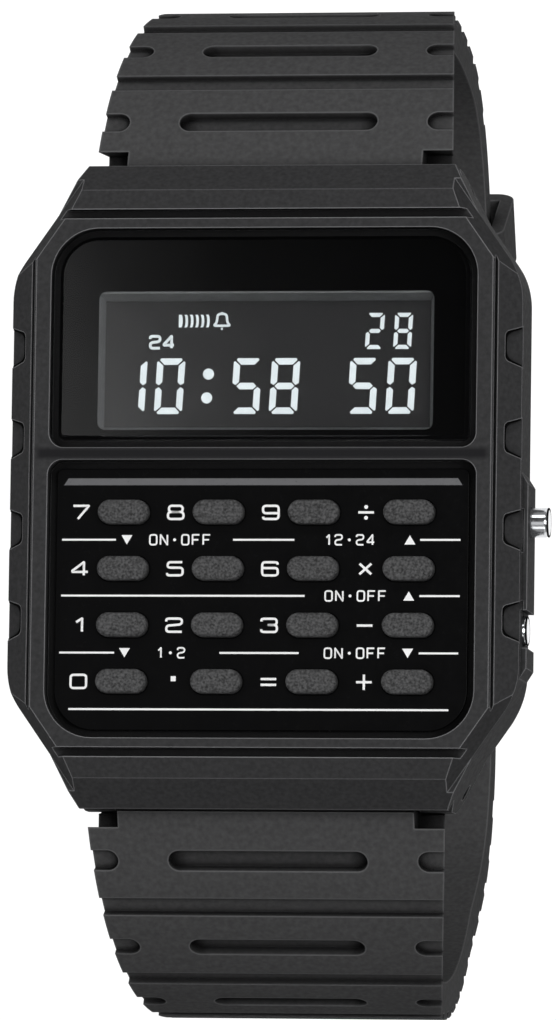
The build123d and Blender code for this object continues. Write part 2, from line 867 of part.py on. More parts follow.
# Gasket in its groove round the cavity
with BuildPart() as case_gasket:
    with BuildSketch(Plane.XY.offset(back_thick)):
        RectangleRounded(
            2 * (cavity_half_width + gasket_inset + gasket_width - gasket_play),
            2 * (cavity_half_length + gasket_inset + gasket_width - gasket_play),
            cavity_round + gasket_inset + gasket_width - gasket_play,
        )
        with BuildSketch(mode=Mode.PRIVATE) as inner:
            RectangleRounded(
                2 * (cavity_half_width + gasket_inset + gasket_play),
                2 * (cavity_half_length + gasket_inset + gasket_play),
                cavity_round + gasket_inset + gasket_play,
            )
        add(inner.sketch, mode=Mode.SUBTRACT)
    extrude(amount=gasket_height - gasket_play)
save(case_gasket, "case_gasket")

# Case back: a plate with a broken edge and a counterbore for each screw
with BuildPart() as case_back:
    with BuildSketch():
        RectangleRounded(2 * back_half_width, 2 * back_half_length, back_round)
    extrude(amount=back_thick)
    chamfer(case_back.faces().sort_by(Axis.Z)[0].edges(), back_break)
    with BuildSketch():
        with GridLocations(2 * screw_x, 2 * screw_y, 2, 2):
            Circle(screw_head_radius + slide_gap)
    extrude(amount=screw_sunk + screw_head_height, mode=Mode.SUBTRACT)
    with BuildSketch():
        with GridLocations(2 * screw_x, 2 * screw_y, 2, 2):
            Circle(screw_thread_radius + slide_gap)
    extrude(amount=back_thick, mode=Mode.SUBTRACT)
save(case_back, "case_back")

# Case back screws with a straight slot
with BuildPart() as case_back_screws:
    with BuildSketch(Plane.XY.offset(screw_sunk)):
        with GridLocations(2 * screw_x, 2 * screw_y, 2, 2):
            Circle(screw_head_radius)
    extrude(amount=screw_head_height)
    with BuildSketch(Plane.XY.offset(screw_sunk + screw_head_height)):
        with GridLocations(2 * screw_x, 2 * screw_y, 2, 2):
            Circle(screw_thread_radius)
    extrude(amount=screw_length - screw_head_height - screw_sunk)
    with BuildSketch(Plane.XY.offset(screw_sunk)):
        with GridLocations(2 * screw_x, 2 * screw_y, 2, 2):
            Rectangle(2 * (screw_head_radius + slide_gap), screw_slot_width, rotation=screw_slot_turn)
    extrude(amount=screw_slot_depth, mode=Mode.SUBTRACT)
save(case_back_screws, "case_back_screws")

# Sounder disc on the inside of the back, and the spring that feeds it
with BuildPart() as piezo_disc:
    with BuildSketch(Plane.XY.offset(back_thick)):
        with Locations((0, piezo_y)):
            Circle(piezo_radius)
    extrude(amount=piezo_thick - piezo_core_thick)
    with BuildSketch(Plane.XY.offset(back_thick + piezo_thick - piezo_core_thick)):
        with Locations((0, piezo_y)):
            Circle(piezo_core_radius)
    extrude(amount=piezo_core_thick)
save(piezo_disc, "piezo_disc")

with BuildPart() as alarm_spring:
    alarm_low_z = back_thick + piezo_thick + coil_wire + seat_gap
    alarm_length = board_low_z - alarm_low_z - coil_wire - seat_gap
    with BuildLine() as turns:
        Helix(
            pitch=alarm_length / alarm_coil_turns,
            height=alarm_length,
            radius=alarm_coil_radius,
            center=(0, piezo_y, alarm_low_z),
        )
    with BuildSketch(Plane(turns.line @ 0, z_dir=turns.line % 0)):
        Circle(coil_wire)
    sweep(path=turns.line, is_frenet=True)
save(alarm_spring, "alarm_spring")

# Spring bars of the strap: a tube with a pin at each end
for bar_name, view in (("spring_bar_12", upper_view()), ("spring_bar_6", lower_view())):
    with BuildPart() as bar:
        with BuildSketch(view):
            with Locations((bar_y, bar_z)):
                Circle(bar_radius)
        extrude(amount=tongue_half_width, both=True)
        with BuildSketch(view):
            with Locations((bar_y, bar_z)):
                Circle(bar_tip_radius)
        extrude(amount=tongue_half_width + tongue_gap + bar_tip_length, both=True)
    save(bar, bar_name)


def strap_path(arcs, tail):
    """The outer line of a strap half in its side view, from the case to its end."""
    with BuildLine() as line:
        root = PolarLine((root_y, root_z), root_run, angle=-root_slope)
        last = JernArc(root @ 1, root % 1, strap_arc, root_slope - 90)
        for radius, turn in arcs:
            last = JernArc(last @ 1, last % 1, radius, -turn)
        Line(last @ 1, last @ 1 + (last % 1) * tail)
    return line.wires()[0]


def along(path, distance):
    """The point on a strap's outer line at a distance from the case, and its direction in degrees."""
    share = distance / path.length
    heading = path.tangent_at(share)
    return path.position_at(share), math.degrees(math.atan2(heading.Y, heading.X))


def strap_profile(view, path):
    """The side profile of a strap half: an even band, with a thick root round the spring bar."""
    with BuildSketch(view) as profile:
        with BuildLine():
            add(path)
            offset(amount=strap_thick, side=Side.RIGHT, closed=True)
        make_face()
        with Locations((bar_y, bar_z)):
            Circle(knuckle_radius)
        with BuildLine():
            Polyline(
                (bar_y, bar_z - knuckle_radius),
                (root_flare_y, bar_z - knuckle_radius - (root_flare_y - bar_y) / 2),
                (root_flare_y, bar_z - knuckle_radius),
                (root_y, root_z),
                (root_y, root_shelf_z),
                (root_shelf_y, root_shelf_z),
                (bar_y - knuckle_radius, bar_z),
                close=True,
            )
        make_face()
    return profile.sketch


def strap_outline(points):
    """The outline of a strap half seen level with the dial: half-width and height, mirrored."""
    with BuildSketch(Plane.XZ) as outline:
        with BuildLine():
            Polyline(*points, *[(-x, z) for x, z in reversed(points)], close=True)
        make_face()
    return outline.sketch


def rungs(view, path, count, half_width_at):
    """Grooves across a strap half, and between them a slot in the middle and one at each edge."""
    with BuildSketch(view) as grooves:
        for step in range(count):
            spot, turn = along(path, rung_groove_first + step * rung_pitch)
            with Locations(Location((spot.X, spot.Y), turn)):
                Rectangle(rung_groove, 2 * rung_groove_depth)
    extrude(grooves.sketch, amount=strap_root_half_width, both=True, mode=Mode.SUBTRACT)
    for step in range(count):
        distance = rung_slot_first + step * rung_pitch
        spot, turn = along(path, distance)
        half_width = half_width_at(distance)
        out = view.from_local_coords(Vector(0, 1).rotate(Axis.Z, turn)) - view.origin
        surface = Plane(origin=view.from_local_coords(Vector(spot.X, spot.Y)), x_dir=(1, 0, 0), z_dir=out)
        with BuildSketch(surface) as slot:
            SlotOverall(2 * (half_width - rung_slot_margin), rung_slot)
        extrude(slot.sketch, amount=-rung_slot_depth, mode=Mode.SUBTRACT)
        with BuildSketch(surface) as pockets:
            with Locations((half_width, 0), (-half_width, 0)):
                SlotOverall(2 * rung_edge_slot, rung_slot)
        extrude(pockets.sketch, amount=-rung_edge_depth, mode=Mode.SUBTRACT)


def root_cuts(view):
    """Shoulders that wrap the lugs beside the tongue, and the bore of the spring bar."""
    for side in (1, -1):
        with BuildSketch(view.offset(side * tongue_half_width)) as shoulder:
            with BuildLine():
                Polyline(
                    (recess_y, -knuckle_radius),
                    (shoulder_lip_y, -knuckle_radius),
                    (shoulder_lip_y, bar_z),
                    (shoulder_back_y, bar_z),
                    (shoulder_back_y, case_top),
                    (recess_y, case_top),
                    close=True,
                )
            make_face()
            with Locations((bar_y, bar_z)):
                Circle(lug_round + lug_gap)
        extrude(
            shoulder.sketch,
            amount=side * (strap_root_half_width - tongue_half_width),
            mode=Mode.SUBTRACT,
        )
    with BuildSketch(view) as bore:
        with Locations((bar_y, bar_z)):
            Circle(bar_radius + slide_gap)
    extrude(bore.sketch, amount=strap_root_half_width, both=True, mode=Mode.SUBTRACT)


arc_end = root_run + strap_arc * math.radians(90 - root_slope)
upper_path = strap_path(upper_arcs, upper_tail)
lower_path = strap_path(lower_arcs, lower_tail)
side_z = (lower_path.position_at(arc_end / lower_path.length)).Y
floor_z = (lower_path @ 1).Y
upper_end = upper_path @ 1
upper_heading = upper_path % 1
inward = Vector(upper_heading.Y, -upper_heading.X)
eye = upper_end + inward * (strap_thick / 2)


def taper(distance, end_distance, end_half_width):
    """Half the width of a strap half at a distance from the case."""
    if distance < arc_end:
        share = distance / arc_end
        return strap_root_half_width + share * (strap_side_half_width - strap_root_half_width)
    share = min(1, (distance - arc_end) / (end_distance - arc_end))
    return strap_side_half_width + share * (end_half_width - strap_side_half_width)


# Strap, 12 o'clock half: tongue, shoulders, rungs and an eye for the buckle bar
with BuildPart() as strap_12:
    extrude(strap_profile(upper_view(), upper_path), amount=strap_root_half_width, both=True)
    extrude(
        strap_outline(
            (
                (strap_root_half_width, case_top),
                (strap_root_half_width, root_shelf_z),
                (strap_side_half_width, side_z),
                (upper_end_half_width, upper_end.Y),
                (upper_end_half_width, floor_z),
            )
        ),
        amount=case_length,
        both=True,
        mode=Mode.INTERSECT,
    )
    with BuildSketch(upper_view()):
        with Locations((eye.X, eye.Y)):
            Circle(strap_thick / 2)
    extrude(amount=upper_end_half_width, both=True)
    root_cuts(upper_view())
    rungs(
        upper_view(),
        upper_path,
        upper_rungs,
        lambda distance: taper(distance, upper_path.length, upper_end_half_width),
    )
    with BuildSketch(upper_view()):
        with Locations((eye.X, eye.Y)):
            Circle(buckle_bar_radius + slide_gap)
    extrude(amount=strap_root_half_width, both=True, mode=Mode.SUBTRACT)
    with BuildSketch(upper_view()):
        with Locations((eye.X, eye.Y)):
            Circle(prong_slot_reach)
    extrude(amount=prong_slot_half_width, both=True, mode=Mode.SUBTRACT)
save(strap_12, "strap_12")

# Strap, 6 o'clock half: the same root, a long tail with holes and a round tip
with BuildPart() as strap_6:
    extrude(strap_profile(lower_view(), lower_path), amount=strap_root_half_width, both=True)
    extrude(
        strap_outline(
            (
                (strap_root_half_width, case_top),
                (strap_root_half_width, root_shelf_z),
                (strap_side_half_width, side_z),
                (lower_end_half_width, lower_knee_z),
                (lower_end_half_width, floor_z - cut_over),
            )
        ),
        amount=case_length,
        both=True,
        mode=Mode.INTERSECT,
    )
    tip_edges = strap_6.edges().filter_by(Axis.Z).sort_by(Axis.Y)[-2:]
    fillet(tip_edges, lower_tip_round)
    root_cuts(lower_view())
    knee_distance = arc_end + lower_arcs[0][0] * math.radians(lower_arcs[0][1])
    rungs(
        lower_view(),
        lower_path,
        lower_rungs,
        lambda distance: taper(distance, knee_distance, lower_end_half_width),
    )
    tip_y = -(lower_path @ 1).X
    with BuildSketch(Plane.XY.offset(floor_z)):
        for step in range(strap_holes):
            with Locations((0, tip_y - strap_hole_from_tip - step * strap_hole_pitch)):
                Circle(strap_hole_radius)
    extrude(amount=strap_thick, mode=Mode.SUBTRACT)
save(strap_6, "strap_6")

# Buckle: a frame on a bar through the end of the 12 o'clock half
tilt = math.radians(buckle_tilt)
buckle_way = Vector(0, -math.cos(tilt), math.sin(tilt))
buckle_plane = Plane(
    origin=(0, eye.X, eye.Y),
    x_dir=(1, 0, 0),
    z_dir=Vector(1, 0, 0).cross(buckle_way),
)
with BuildPart() as buckle_frame:
    with BuildSketch(buckle_plane.offset(-buckle_thick / 2)):
        with Locations((0, (buckle_length - buckle_heel) / 2)):
            RectangleRounded(
                2 * buckle_half_width, buckle_length + buckle_heel, buckle_heel_round
            )
        fillet(vertices().group_by(Axis.Y)[-1], buckle_rail)
        inner_half_width = buckle_half_width - buckle_arm
        with Locations((0, (buckle_length - buckle_rail) / 2 - buckle_heel)):
            Rectangle(
                2 * inner_half_width,
                buckle_length - buckle_rail + 2 * buckle_heel,
                mode=Mode.SUBTRACT,
            )
    extrude(amount=buckle_thick)
    flat_faces = buckle_frame.faces().sort_by(Axis(buckle_plane.origin, buckle_plane.z_dir))
    chamfer(flat_faces[0].edges() + flat_faces[-1].edges(), buckle_break)
    with BuildSketch(upper_view()):
        with Locations((eye.X, eye.Y)):
            Circle(buckle_bar_radius)
    extrude(amount=buckle_half_width, both=True, mode=Mode.SUBTRACT)
save(buckle_frame, "buckle_frame")

with BuildPart() as buckle_bar:
    with BuildSketch(upper_view()):
        with Locations((eye.X, eye.Y)):
            Circle(buckle_bar_radius)
    extrude(amount=buckle_half_width - buckle_break, both=True)
save(buckle_bar, "buckle_bar")

# Prong: an eye round the bar and a shank that lies on the outside of the far rail
with BuildPart() as buckle_prong:
    side_plane = Plane(
        origin=buckle_plane.origin, x_dir=buckle_plane.y_dir, z_dir=buckle_plane.x_dir
    )
    prong_low = buckle_thick / 2 + prong_rest_gap
    with BuildSketch(side_plane):
        with BuildLine():
            Polyline(
                (0, -prong_eye),
                (0, 0),
                (prong_eye, prong_low),
                (buckle_length + prong_overhang, prong_low),
                (buckle_length + prong_overhang, prong_low + prong_thick / 2),
                (buckle_length - buckle_rail, prong_low + prong_thick),
                (prong_eye, prong_low + prong_thick),
                (0, prong_eye),
                close=True,
            )
        make_face()
        Circle(prong_eye)
        Circle(buckle_bar_radius + slide_gap, mode=Mode.SUBTRACT)
    extrude(amount=prong_half_width, both=True)
save(buckle_prong, "buckle_prong")

# Keeper: a loop round the strap, with room for the tail of the other half
with BuildPart() as keeper:
    spot, turn = along(upper_path, upper_path.length - keeper_before_end)
    heading = Vector(0, math.cos(math.radians(turn)), math.sin(math.radians(turn)))
    keeper_plane = Plane(origin=(0, spot.X, spot.Y), x_dir=(1, 0, 0), z_dir=heading)
    keeper_half_width = taper(
        upper_path.length - keeper_before_end, upper_path.length, upper_end_half_width
    ) + keeper_gap
    outward = 1 if keeper_plane.y_dir.Z < 0 else -1
    low = -(strap_thick + keeper_gap)
    high = strap_thick + keeper_gap
    with BuildSketch(keeper_plane.offset(-keeper_width / 2)):
        with Locations((0, outward * (low + high) / 2)):
            RectangleRounded(
                2 * (keeper_half_width + keeper_side_wall),
                high - low + 2 * keeper_wall,
                keeper_round + keeper_wall / 2,
            )
            Rectangle(2 * keeper_half_width, high - low, mode=Mode.SUBTRACT)
    extrude(amount=keeper_width)
save(keeper, "keeper")
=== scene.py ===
"""Looks of the calculator watch: materials, the printed keypad, the display and a studio round them."""
import bpy
import bmesh
import json
import math
from mathutils import Matrix, Vector

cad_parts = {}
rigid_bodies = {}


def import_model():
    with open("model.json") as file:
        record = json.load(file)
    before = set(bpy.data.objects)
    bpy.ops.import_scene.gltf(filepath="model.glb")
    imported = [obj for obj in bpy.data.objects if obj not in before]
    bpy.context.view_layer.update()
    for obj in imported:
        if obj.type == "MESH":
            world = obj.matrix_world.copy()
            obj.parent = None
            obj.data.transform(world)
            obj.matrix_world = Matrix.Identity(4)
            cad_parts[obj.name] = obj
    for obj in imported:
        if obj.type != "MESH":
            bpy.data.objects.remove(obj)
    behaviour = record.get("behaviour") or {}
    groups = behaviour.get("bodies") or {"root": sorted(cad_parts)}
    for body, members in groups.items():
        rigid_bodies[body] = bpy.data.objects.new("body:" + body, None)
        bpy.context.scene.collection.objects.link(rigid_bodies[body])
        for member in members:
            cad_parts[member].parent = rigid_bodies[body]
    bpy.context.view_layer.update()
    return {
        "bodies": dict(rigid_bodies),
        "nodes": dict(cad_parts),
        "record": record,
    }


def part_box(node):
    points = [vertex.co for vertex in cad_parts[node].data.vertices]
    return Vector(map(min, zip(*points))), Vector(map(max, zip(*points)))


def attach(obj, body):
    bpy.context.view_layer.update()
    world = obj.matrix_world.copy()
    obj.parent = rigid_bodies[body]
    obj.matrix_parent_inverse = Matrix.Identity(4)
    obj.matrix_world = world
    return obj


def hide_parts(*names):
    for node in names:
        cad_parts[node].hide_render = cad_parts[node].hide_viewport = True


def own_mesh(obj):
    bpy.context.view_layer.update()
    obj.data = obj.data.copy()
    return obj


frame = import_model()

MM = 0.001
HEAD = "watch_head"

# Surfaces that carry marks
panel_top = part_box("keypad_panel")[1][2]
display_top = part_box("lcd_panel")[1][2]
glass_low, glass_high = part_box("window_glass")

# Camera: nearly square on, a little from the right and from below
CAMERA_SIDE = math.radians(8.5)
CAMERA_DROP = math.radians(5.5)
CAMERA_DISTANCE = 600 * MM
IMAGE_HEIGHT = 1020
PIXELS_PER_MM = 15.05
SENSOR = 36.0
DIAL_OFF_CENTRE = Vector((-1.133, 1.867)) * MM
CLIP_START = 10 * MM


def add_camera():
    """A long lens, which shows the dial at the photograph's size and place."""
    right = Vector((
        math.cos(CAMERA_SIDE),
        math.sin(CAMERA_SIDE) * math.sin(CAMERA_DROP),
        -math.sin(CAMERA_SIDE) * math.cos(CAMERA_DROP),
    ))
    up = Vector((0, math.cos(CAMERA_DROP), math.sin(CAMERA_DROP)))
    back = right.cross(up)
    dial = Vector((0, 0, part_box("case")[1][2]))
    place = dial - right * DIAL_OFF_CENTRE.x - up * DIAL_OFF_CENTRE.y + back * CAMERA_DISTANCE
    data = bpy.data.cameras.new("camera")
    data.lens = PIXELS_PER_MM * CAMERA_DISTANCE / MM / IMAGE_HEIGHT * SENSOR
    data.sensor_width = SENSOR
    data.clip_start = CLIP_START
    camera = bpy.data.objects.new("camera", data)
    camera.matrix_world = Matrix.Translation(place) @ Matrix((right, up, back)).transposed().to_4x4()
    bpy.context.scene.collection.objects.link(camera)
    bpy.context.scene.camera = camera


# Materials
AIR_REACH = 1.2 * MM  # how far off a wall the painted corner shade still reaches
AIR_SAMPLES = 6
CASE_AIR = (0.35, 0.84)  # open air that counts as a corner and as open surface, for the painted corner shade
STRAP_AIR = (0.5, 0.95)
EDGE_SAMPLES = 6
EDGE_TURN = (0.06, 0.4)  # turn of the surface that counts as none and as a full edge
ROUGHNESS_GRAINS = 3  # a blotch of the roughness is so many grains across


def new_material(name):
    """An empty material with one shader, and that shader."""
    material = bpy.data.materials.new(name)
    material.use_nodes = True
    nodes = material.node_tree.nodes
    nodes.clear()
    output = nodes.new("ShaderNodeOutputMaterial")
    shader = nodes.new("ShaderNodeBsdfPrincipled")
    material.node_tree.links.new(shader.outputs[0], output.inputs[0])
    return material, shader


def noise(material, size, detail=2.0):
    """Noise whose blotches are about size across, in metres."""
    nodes, links = material.node_tree.nodes, material.node_tree.links
    place = nodes.new("ShaderNodeTexCoord")
    texture = nodes.new("ShaderNodeTexNoise")
    texture.inputs["Scale"].default_value = 1 / size
    texture.inputs["Detail"].default_value = detail
    links.new(place.outputs["Object"], texture.inputs["Vector"])
    return texture.outputs["Fac"]


def spread(material, value, low, high, stretch=(0.3, 0.7)):
    """A stretch of the value mapped to low and high."""
    nodes, links = material.node_tree.nodes, material.node_tree.links
    node = nodes.new("ShaderNodeMapRange")
    node.inputs["From Min"].default_value = stretch[0]
    node.inputs["From Max"].default_value = stretch[1]
    node.inputs["To Min"].default_value = low
    node.inputs["To Max"].default_value = high
    links.new(value, node.inputs["Value"])
    return node.outputs["Result"]


def scaled(colour, share):
    """The colour made darker or lighter, with no part above 1."""
    return [min(1, part * share) for part in colour]


def mix_colour(material, factor, dark, light):
    """Dark where the factor is 0 and light where it is 1, each of them a colour or a socket."""
    nodes, links = material.node_tree.nodes, material.node_tree.links
    node = nodes.new("ShaderNodeMix")
    node.data_type = "RGBA"
    for name, colour in (("A", dark), ("B", light)):
        if isinstance(colour, bpy.types.NodeSocket):
            links.new(colour, node.inputs[name])
        else:
            node.inputs[name].default_value = (*colour, 1)
    links.new(factor, node.inputs["Factor"])
    return node.outputs["Result"]


def product(material, one, two):
    """The product of two sockets."""
    nodes, links = material.node_tree.nodes, material.node_tree.links
    node = nodes.new("ShaderNodeMath")
    node.operation = "MULTIPLY"
    links.new(one, node.inputs[0])
    links.new(two, node.inputs[1])
    return node.outputs[0]


def open_air(material):
    """1 on open surfaces, less in corners, slots and gaps: the mask of the painted corner shade."""
    air = material.node_tree.nodes.new("ShaderNodeAmbientOcclusion")
    air.samples = AIR_SAMPLES
    air.inputs["Distance"].default_value = AIR_REACH
    return air.outputs["AO"]


def edge_share(material, bevel, air):
    """How sharply the surface turns, the mask of the painted edge highlight: near 1 along outer edges, 0 on
    flats and in corners.
    """
    nodes, links = material.node_tree.nodes, material.node_tree.links
    plain = nodes.new("ShaderNodeNewGeometry")
    turn = nodes.new("ShaderNodeVectorMath")
    turn.operation = "DISTANCE"
    links.new(bevel.outputs[0], turn.inputs[0])
    links.new(plain.outputs["Normal"], turn.inputs[1])
    open_turn = product(material, turn.outputs["Value"], air)
    return spread(material, open_turn, 0, 1, EDGE_TURN)


def field_share(material, axis, low, high, soft):
    """1 where the place along an axis lies between two values, fading out over soft, in millimetres."""
    nodes, links = material.node_tree.nodes, material.node_tree.links
    place = nodes.new("ShaderNodeTexCoord")
    split = nodes.new("ShaderNodeSeparateXYZ")
    links.new(place.outputs["Object"], split.inputs[0])
    rise = spread(material, split.outputs[axis], 0, 1, ((low - soft) * MM, low * MM))
    fall = spread(material, split.outputs[axis], 1, 0, (high * MM, (high + soft) * MM))
    return product(material, rise, fall)


def surface(
    name, colour, rough, grain=0.12, relief=4e-6, mottle=0.12, patch=1.5, rough_span=0.08,
    edge=0.0, edge_light=0.0, corner=1.0, air_range=CASE_AIR, **constants
):
    """A moulded, printed or machined surface. Grain, patch and edge are sizes in millimetres.

    Outer edges carry a painted highlight, edge_light times as bright as the colour, and deep corners a
    painted shade, corner times as bright.
    """
    material, shader = new_material(name)
    nodes, links = material.node_tree.nodes, material.node_tree.links
    patches = spread(material, noise(material, patch * MM, detail=4), 0, 1)
    tone = mix_colour(material, patches, scaled(colour, 1 - mottle), scaled(colour, 1 + mottle))
    air = open_air(material) if corner < 1 else None
    bump = nodes.new("ShaderNodeBump")
    bump.inputs["Distance"].default_value = relief
    links.new(noise(material, grain * MM, detail=3), bump.inputs["Height"])
    if edge:
        bevel = nodes.new("ShaderNodeBevel")
        bevel.samples = EDGE_SAMPLES
        bevel.inputs["Radius"].default_value = edge * MM
        links.new(bevel.outputs[0], bump.inputs["Normal"])
        if edge_light:
            # Painted highlight: outer edges are lightened as if they caught the light
            tone = mix_colour(material, edge_share(material, bevel, air), tone, scaled(colour, edge_light))
    # Painted shade: corners, slots and gaps are darkened where there is little open air
    if air:
        tone = mix_colour(material, spread(material, air, 0, 1, air_range), scaled(colour, corner), tone)
    links.new(tone, shader.inputs["Base Color"])
    blotches = noise(material, grain * ROUGHNESS_GRAINS * MM)
    links.new(
        spread(material, blotches, rough - rough_span, rough + rough_span), shader.inputs["Roughness"]
    )
    links.new(bump.outputs[0], shader.inputs["Normal"])
    for socket, value in constants.items():
        shader.inputs[socket.replace("_", " ")].default_value = value
    return material


# Painted shade on the bar between window and keypad, which stands for the shade of its shallow dip
CROSSBAR_SPAN = (-14.9, 14.9, 0.5)  # low end, high end and fade across, in millimetres
CROSSBAR_REACH = (1.75, 2.1, 0.35)  # the same up the dial
CROSSBAR_SHADE_COLOUR = (0.015, 0.015, 0.016)


def shade_crossbar(material):
    """Painted shade: the bar between window and keypad is darker and more even than the grained face round
    it, in place of the shade of its shallow dip.
    """
    nodes, links = material.node_tree.nodes, material.node_tree.links
    shader = next(node for node in nodes if node.bl_idname == "ShaderNodeBsdfPrincipled")
    grained = shader.inputs["Base Color"].links[0].from_socket
    across = field_share(material, "X", *CROSSBAR_SPAN)
    up = field_share(material, "Y", *CROSSBAR_REACH)
    tone = mix_colour(material, product(material, across, up), grained, CROSSBAR_SHADE_COLOUR)
    links.new(tone, shader.inputs["Base Color"])


TURNING_WIDTH = 0.05 * MM
TURNING_STRETCH = 40.0  # how much longer than wide a turning line is
TURNING_RELIEF = 1.5e-6
TURNING_SHADE = 0.9
TURNING_SPAN = 0.2  # share by which the roughness goes up and down


def turned_metal(name, colour, rough, axis):
    """Metal with fine turning lines round an axis: 0 for X, 1 for Y, 2 for Z."""
    material, shader = new_material(name)
    nodes, links = material.node_tree.nodes, material.node_tree.links
    place = nodes.new("ShaderNodeTexCoord")
    stretch = nodes.new("ShaderNodeMapping")
    scale = [1.0, 1.0, 1.0]
    scale[axis] = TURNING_STRETCH
    stretch.inputs["Scale"].default_value = scale
    links.new(place.outputs["Object"], stretch.inputs["Vector"])
    texture = nodes.new("ShaderNodeTexNoise")
    texture.inputs["Scale"].default_value = 1 / (TURNING_WIDTH * TURNING_STRETCH)
    links.new(stretch.outputs[0], texture.inputs["Vector"])
    lines = texture.outputs["Fac"]
    bump = nodes.new("ShaderNodeBump")
    bump.inputs["Distance"].default_value = TURNING_RELIEF
    links.new(lines, bump.inputs["Height"])
    links.new(bump.outputs[0], shader.inputs["Normal"])
    tone = mix_colour(material, lines, scaled(colour, TURNING_SHADE), colour)
    links.new(tone, shader.inputs["Base Color"])
    smooth, coarse = rough * (1 - TURNING_SPAN), rough * (1 + TURNING_SPAN)
    links.new(spread(material, lines, smooth, coarse), shader.inputs["Roughness"])
    shader.inputs["Metallic"].default_value = 1.0
    return material


GLASS_TINT = (0.96, 0.97, 0.97)
GLASS_REFRACTION = 1.49
SMUDGE_SIZE = 3 * MM
SMUDGE_ROUGHNESS = (0.01, 0.05)
BEVEL_SHINE = 0.22  # how much of the window's polished bevel shows as a mirror
BEVEL_ROUGHNESS = 0.08
BEVEL_STEEP = (0.3, 0.5)  # upward part of the normal over which the shine comes in
BEVEL_FLAT = (0.8, 0.95)  # and over which it goes out


def clear_glass(name):
    """Polished window: light for what lies below passes straight through."""
    material, shader = new_material(name)
    nodes, links = material.node_tree.nodes, material.node_tree.links
    shader.inputs["Base Color"].default_value = (*GLASS_TINT, 1)
    shader.inputs["Transmission Weight"].default_value = 1.0
    shader.inputs["IOR"].default_value = GLASS_REFRACTION
    smudge = spread(material, noise(material, SMUDGE_SIZE, detail=4), *SMUDGE_ROUGHNESS)
    links.new(smudge, shader.inputs["Roughness"])
    path = nodes.new("ShaderNodeLightPath")
    straight = nodes.new("ShaderNodeBsdfTransparent")
    blend = nodes.new("ShaderNodeMixShader")
    links.new(path.outputs["Is Shadow Ray"], blend.inputs[0])
    links.new(shader.outputs[0], blend.inputs[1])
    links.new(straight.outputs[0], blend.inputs[2])
    place = nodes.new("ShaderNodeTexCoord")
    split = nodes.new("ShaderNodeSeparateXYZ")
    links.new(place.outputs["Normal"], split.inputs[0])
    coming = spread(material, split.outputs["Z"], 0, BEVEL_SHINE, BEVEL_STEEP)
    going = spread(material, split.outputs["Z"], 1, 0, BEVEL_FLAT)
    shine = nodes.new("ShaderNodeBsdfGlossy")
    shine.inputs["Roughness"].default_value = BEVEL_ROUGHNESS
    bevelled = nodes.new("ShaderNodeMixShader")
    links.new(product(material, coming, going), bevelled.inputs[0])
    links.new(blend.outputs[0], bevelled.inputs[1])
    links.new(shine.outputs[0], bevelled.inputs[2])
    output = next(node for node in nodes if node.bl_idname == "ShaderNodeOutputMaterial")
    links.new(bevelled.outputs[0], output.inputs[0])
    return material


def make_materials():
    """One material for each slot of the record."""
    return {
        # painted highlight along outer edges and painted shade in corners
        "case_resin": surface(
            "case_resin", (0.035, 0.035, 0.036), 0.6, grain=0.12, relief=1e-5, patch=0.3, mottle=0.16,
            edge=0.12, edge_light=6.0, corner=0.14, Specular_IOR_Level=0.008,
        ),
        "window_glass": clear_glass("window_glass"),
        "frame_plastic": surface("frame_plastic", (0.05, 0.052, 0.054), 0.5, edge=0.05),
        "lcd_glass": surface(
            "lcd_glass", (0.0135, 0.0135, 0.014), 0.5, grain=0.05, relief=1e-6, mottle=0.03,
            Specular_IOR_Level=0.04,
        ),
        "strip_rubber": surface("strip_rubber", (0.03, 0.03, 0.03), 0.7),
        "module_plastic": surface("module_plastic", (0.1, 0.1, 0.11), 0.5),
        "board": surface("board", (0.02, 0.12, 0.05), 0.35, patch=0.8),
        "chip_epoxy": surface("chip_epoxy", (0.015, 0.015, 0.015), 0.5),
        "nickel": turned_metal("nickel", (0.6, 0.59, 0.56), 0.25, 2),
        "spring_steel": turned_metal("spring_steel", (0.5, 0.5, 0.5), 0.25, 0),
        "panel_plastic": surface(
            "panel_plastic", (0.0022, 0.0022, 0.0024), 0.24, grain=0.15, relief=8e-7, edge=0.08,
            rough_span=0.04, Specular_IOR_Level=0.06,
        ),
        "mat_rubber": surface("mat_rubber", (0.2, 0.2, 0.2), 0.7),
        "pusher_steel": surface(
            "pusher_steel", (0.68, 0.69, 0.71), 0.14, grain=0.08, relief=6e-7, mottle=0.05, rough_span=0.03,
            edge=0.05, Metallic=0.95,
        ),
        "back_steel": turned_metal("back_steel", (0.55, 0.55, 0.54), 0.3, 1),
        "screw_steel": turned_metal("screw_steel", (0.5, 0.5, 0.5), 0.3, 2),
        "brass_disc": turned_metal("brass_disc", (0.6, 0.45, 0.2), 0.3, 2),
        # painted highlight along outer edges and painted shade in slots and corners
        "strap_resin": surface(
            "strap_resin", (0.058, 0.058, 0.059), 0.66, grain=0.14, relief=1e-5, patch=0.35, mottle=0.16,
            edge=0.2, edge_light=2.2, corner=0.1, air_range=STRAP_AIR, Specular_IOR_Level=0.004,
        ),
        "buckle_steel": turned_metal("buckle_steel", (0.5, 0.5, 0.5), 0.28, 0),
        "key_rubber": surface(
            "key_rubber", (0.05, 0.05, 0.051), 0.65, grain=0.14, relief=4e-5, mottle=0.75,
            patch=0.16, edge=0.1, Specular_IOR_Level=0.2,
        ),
    }


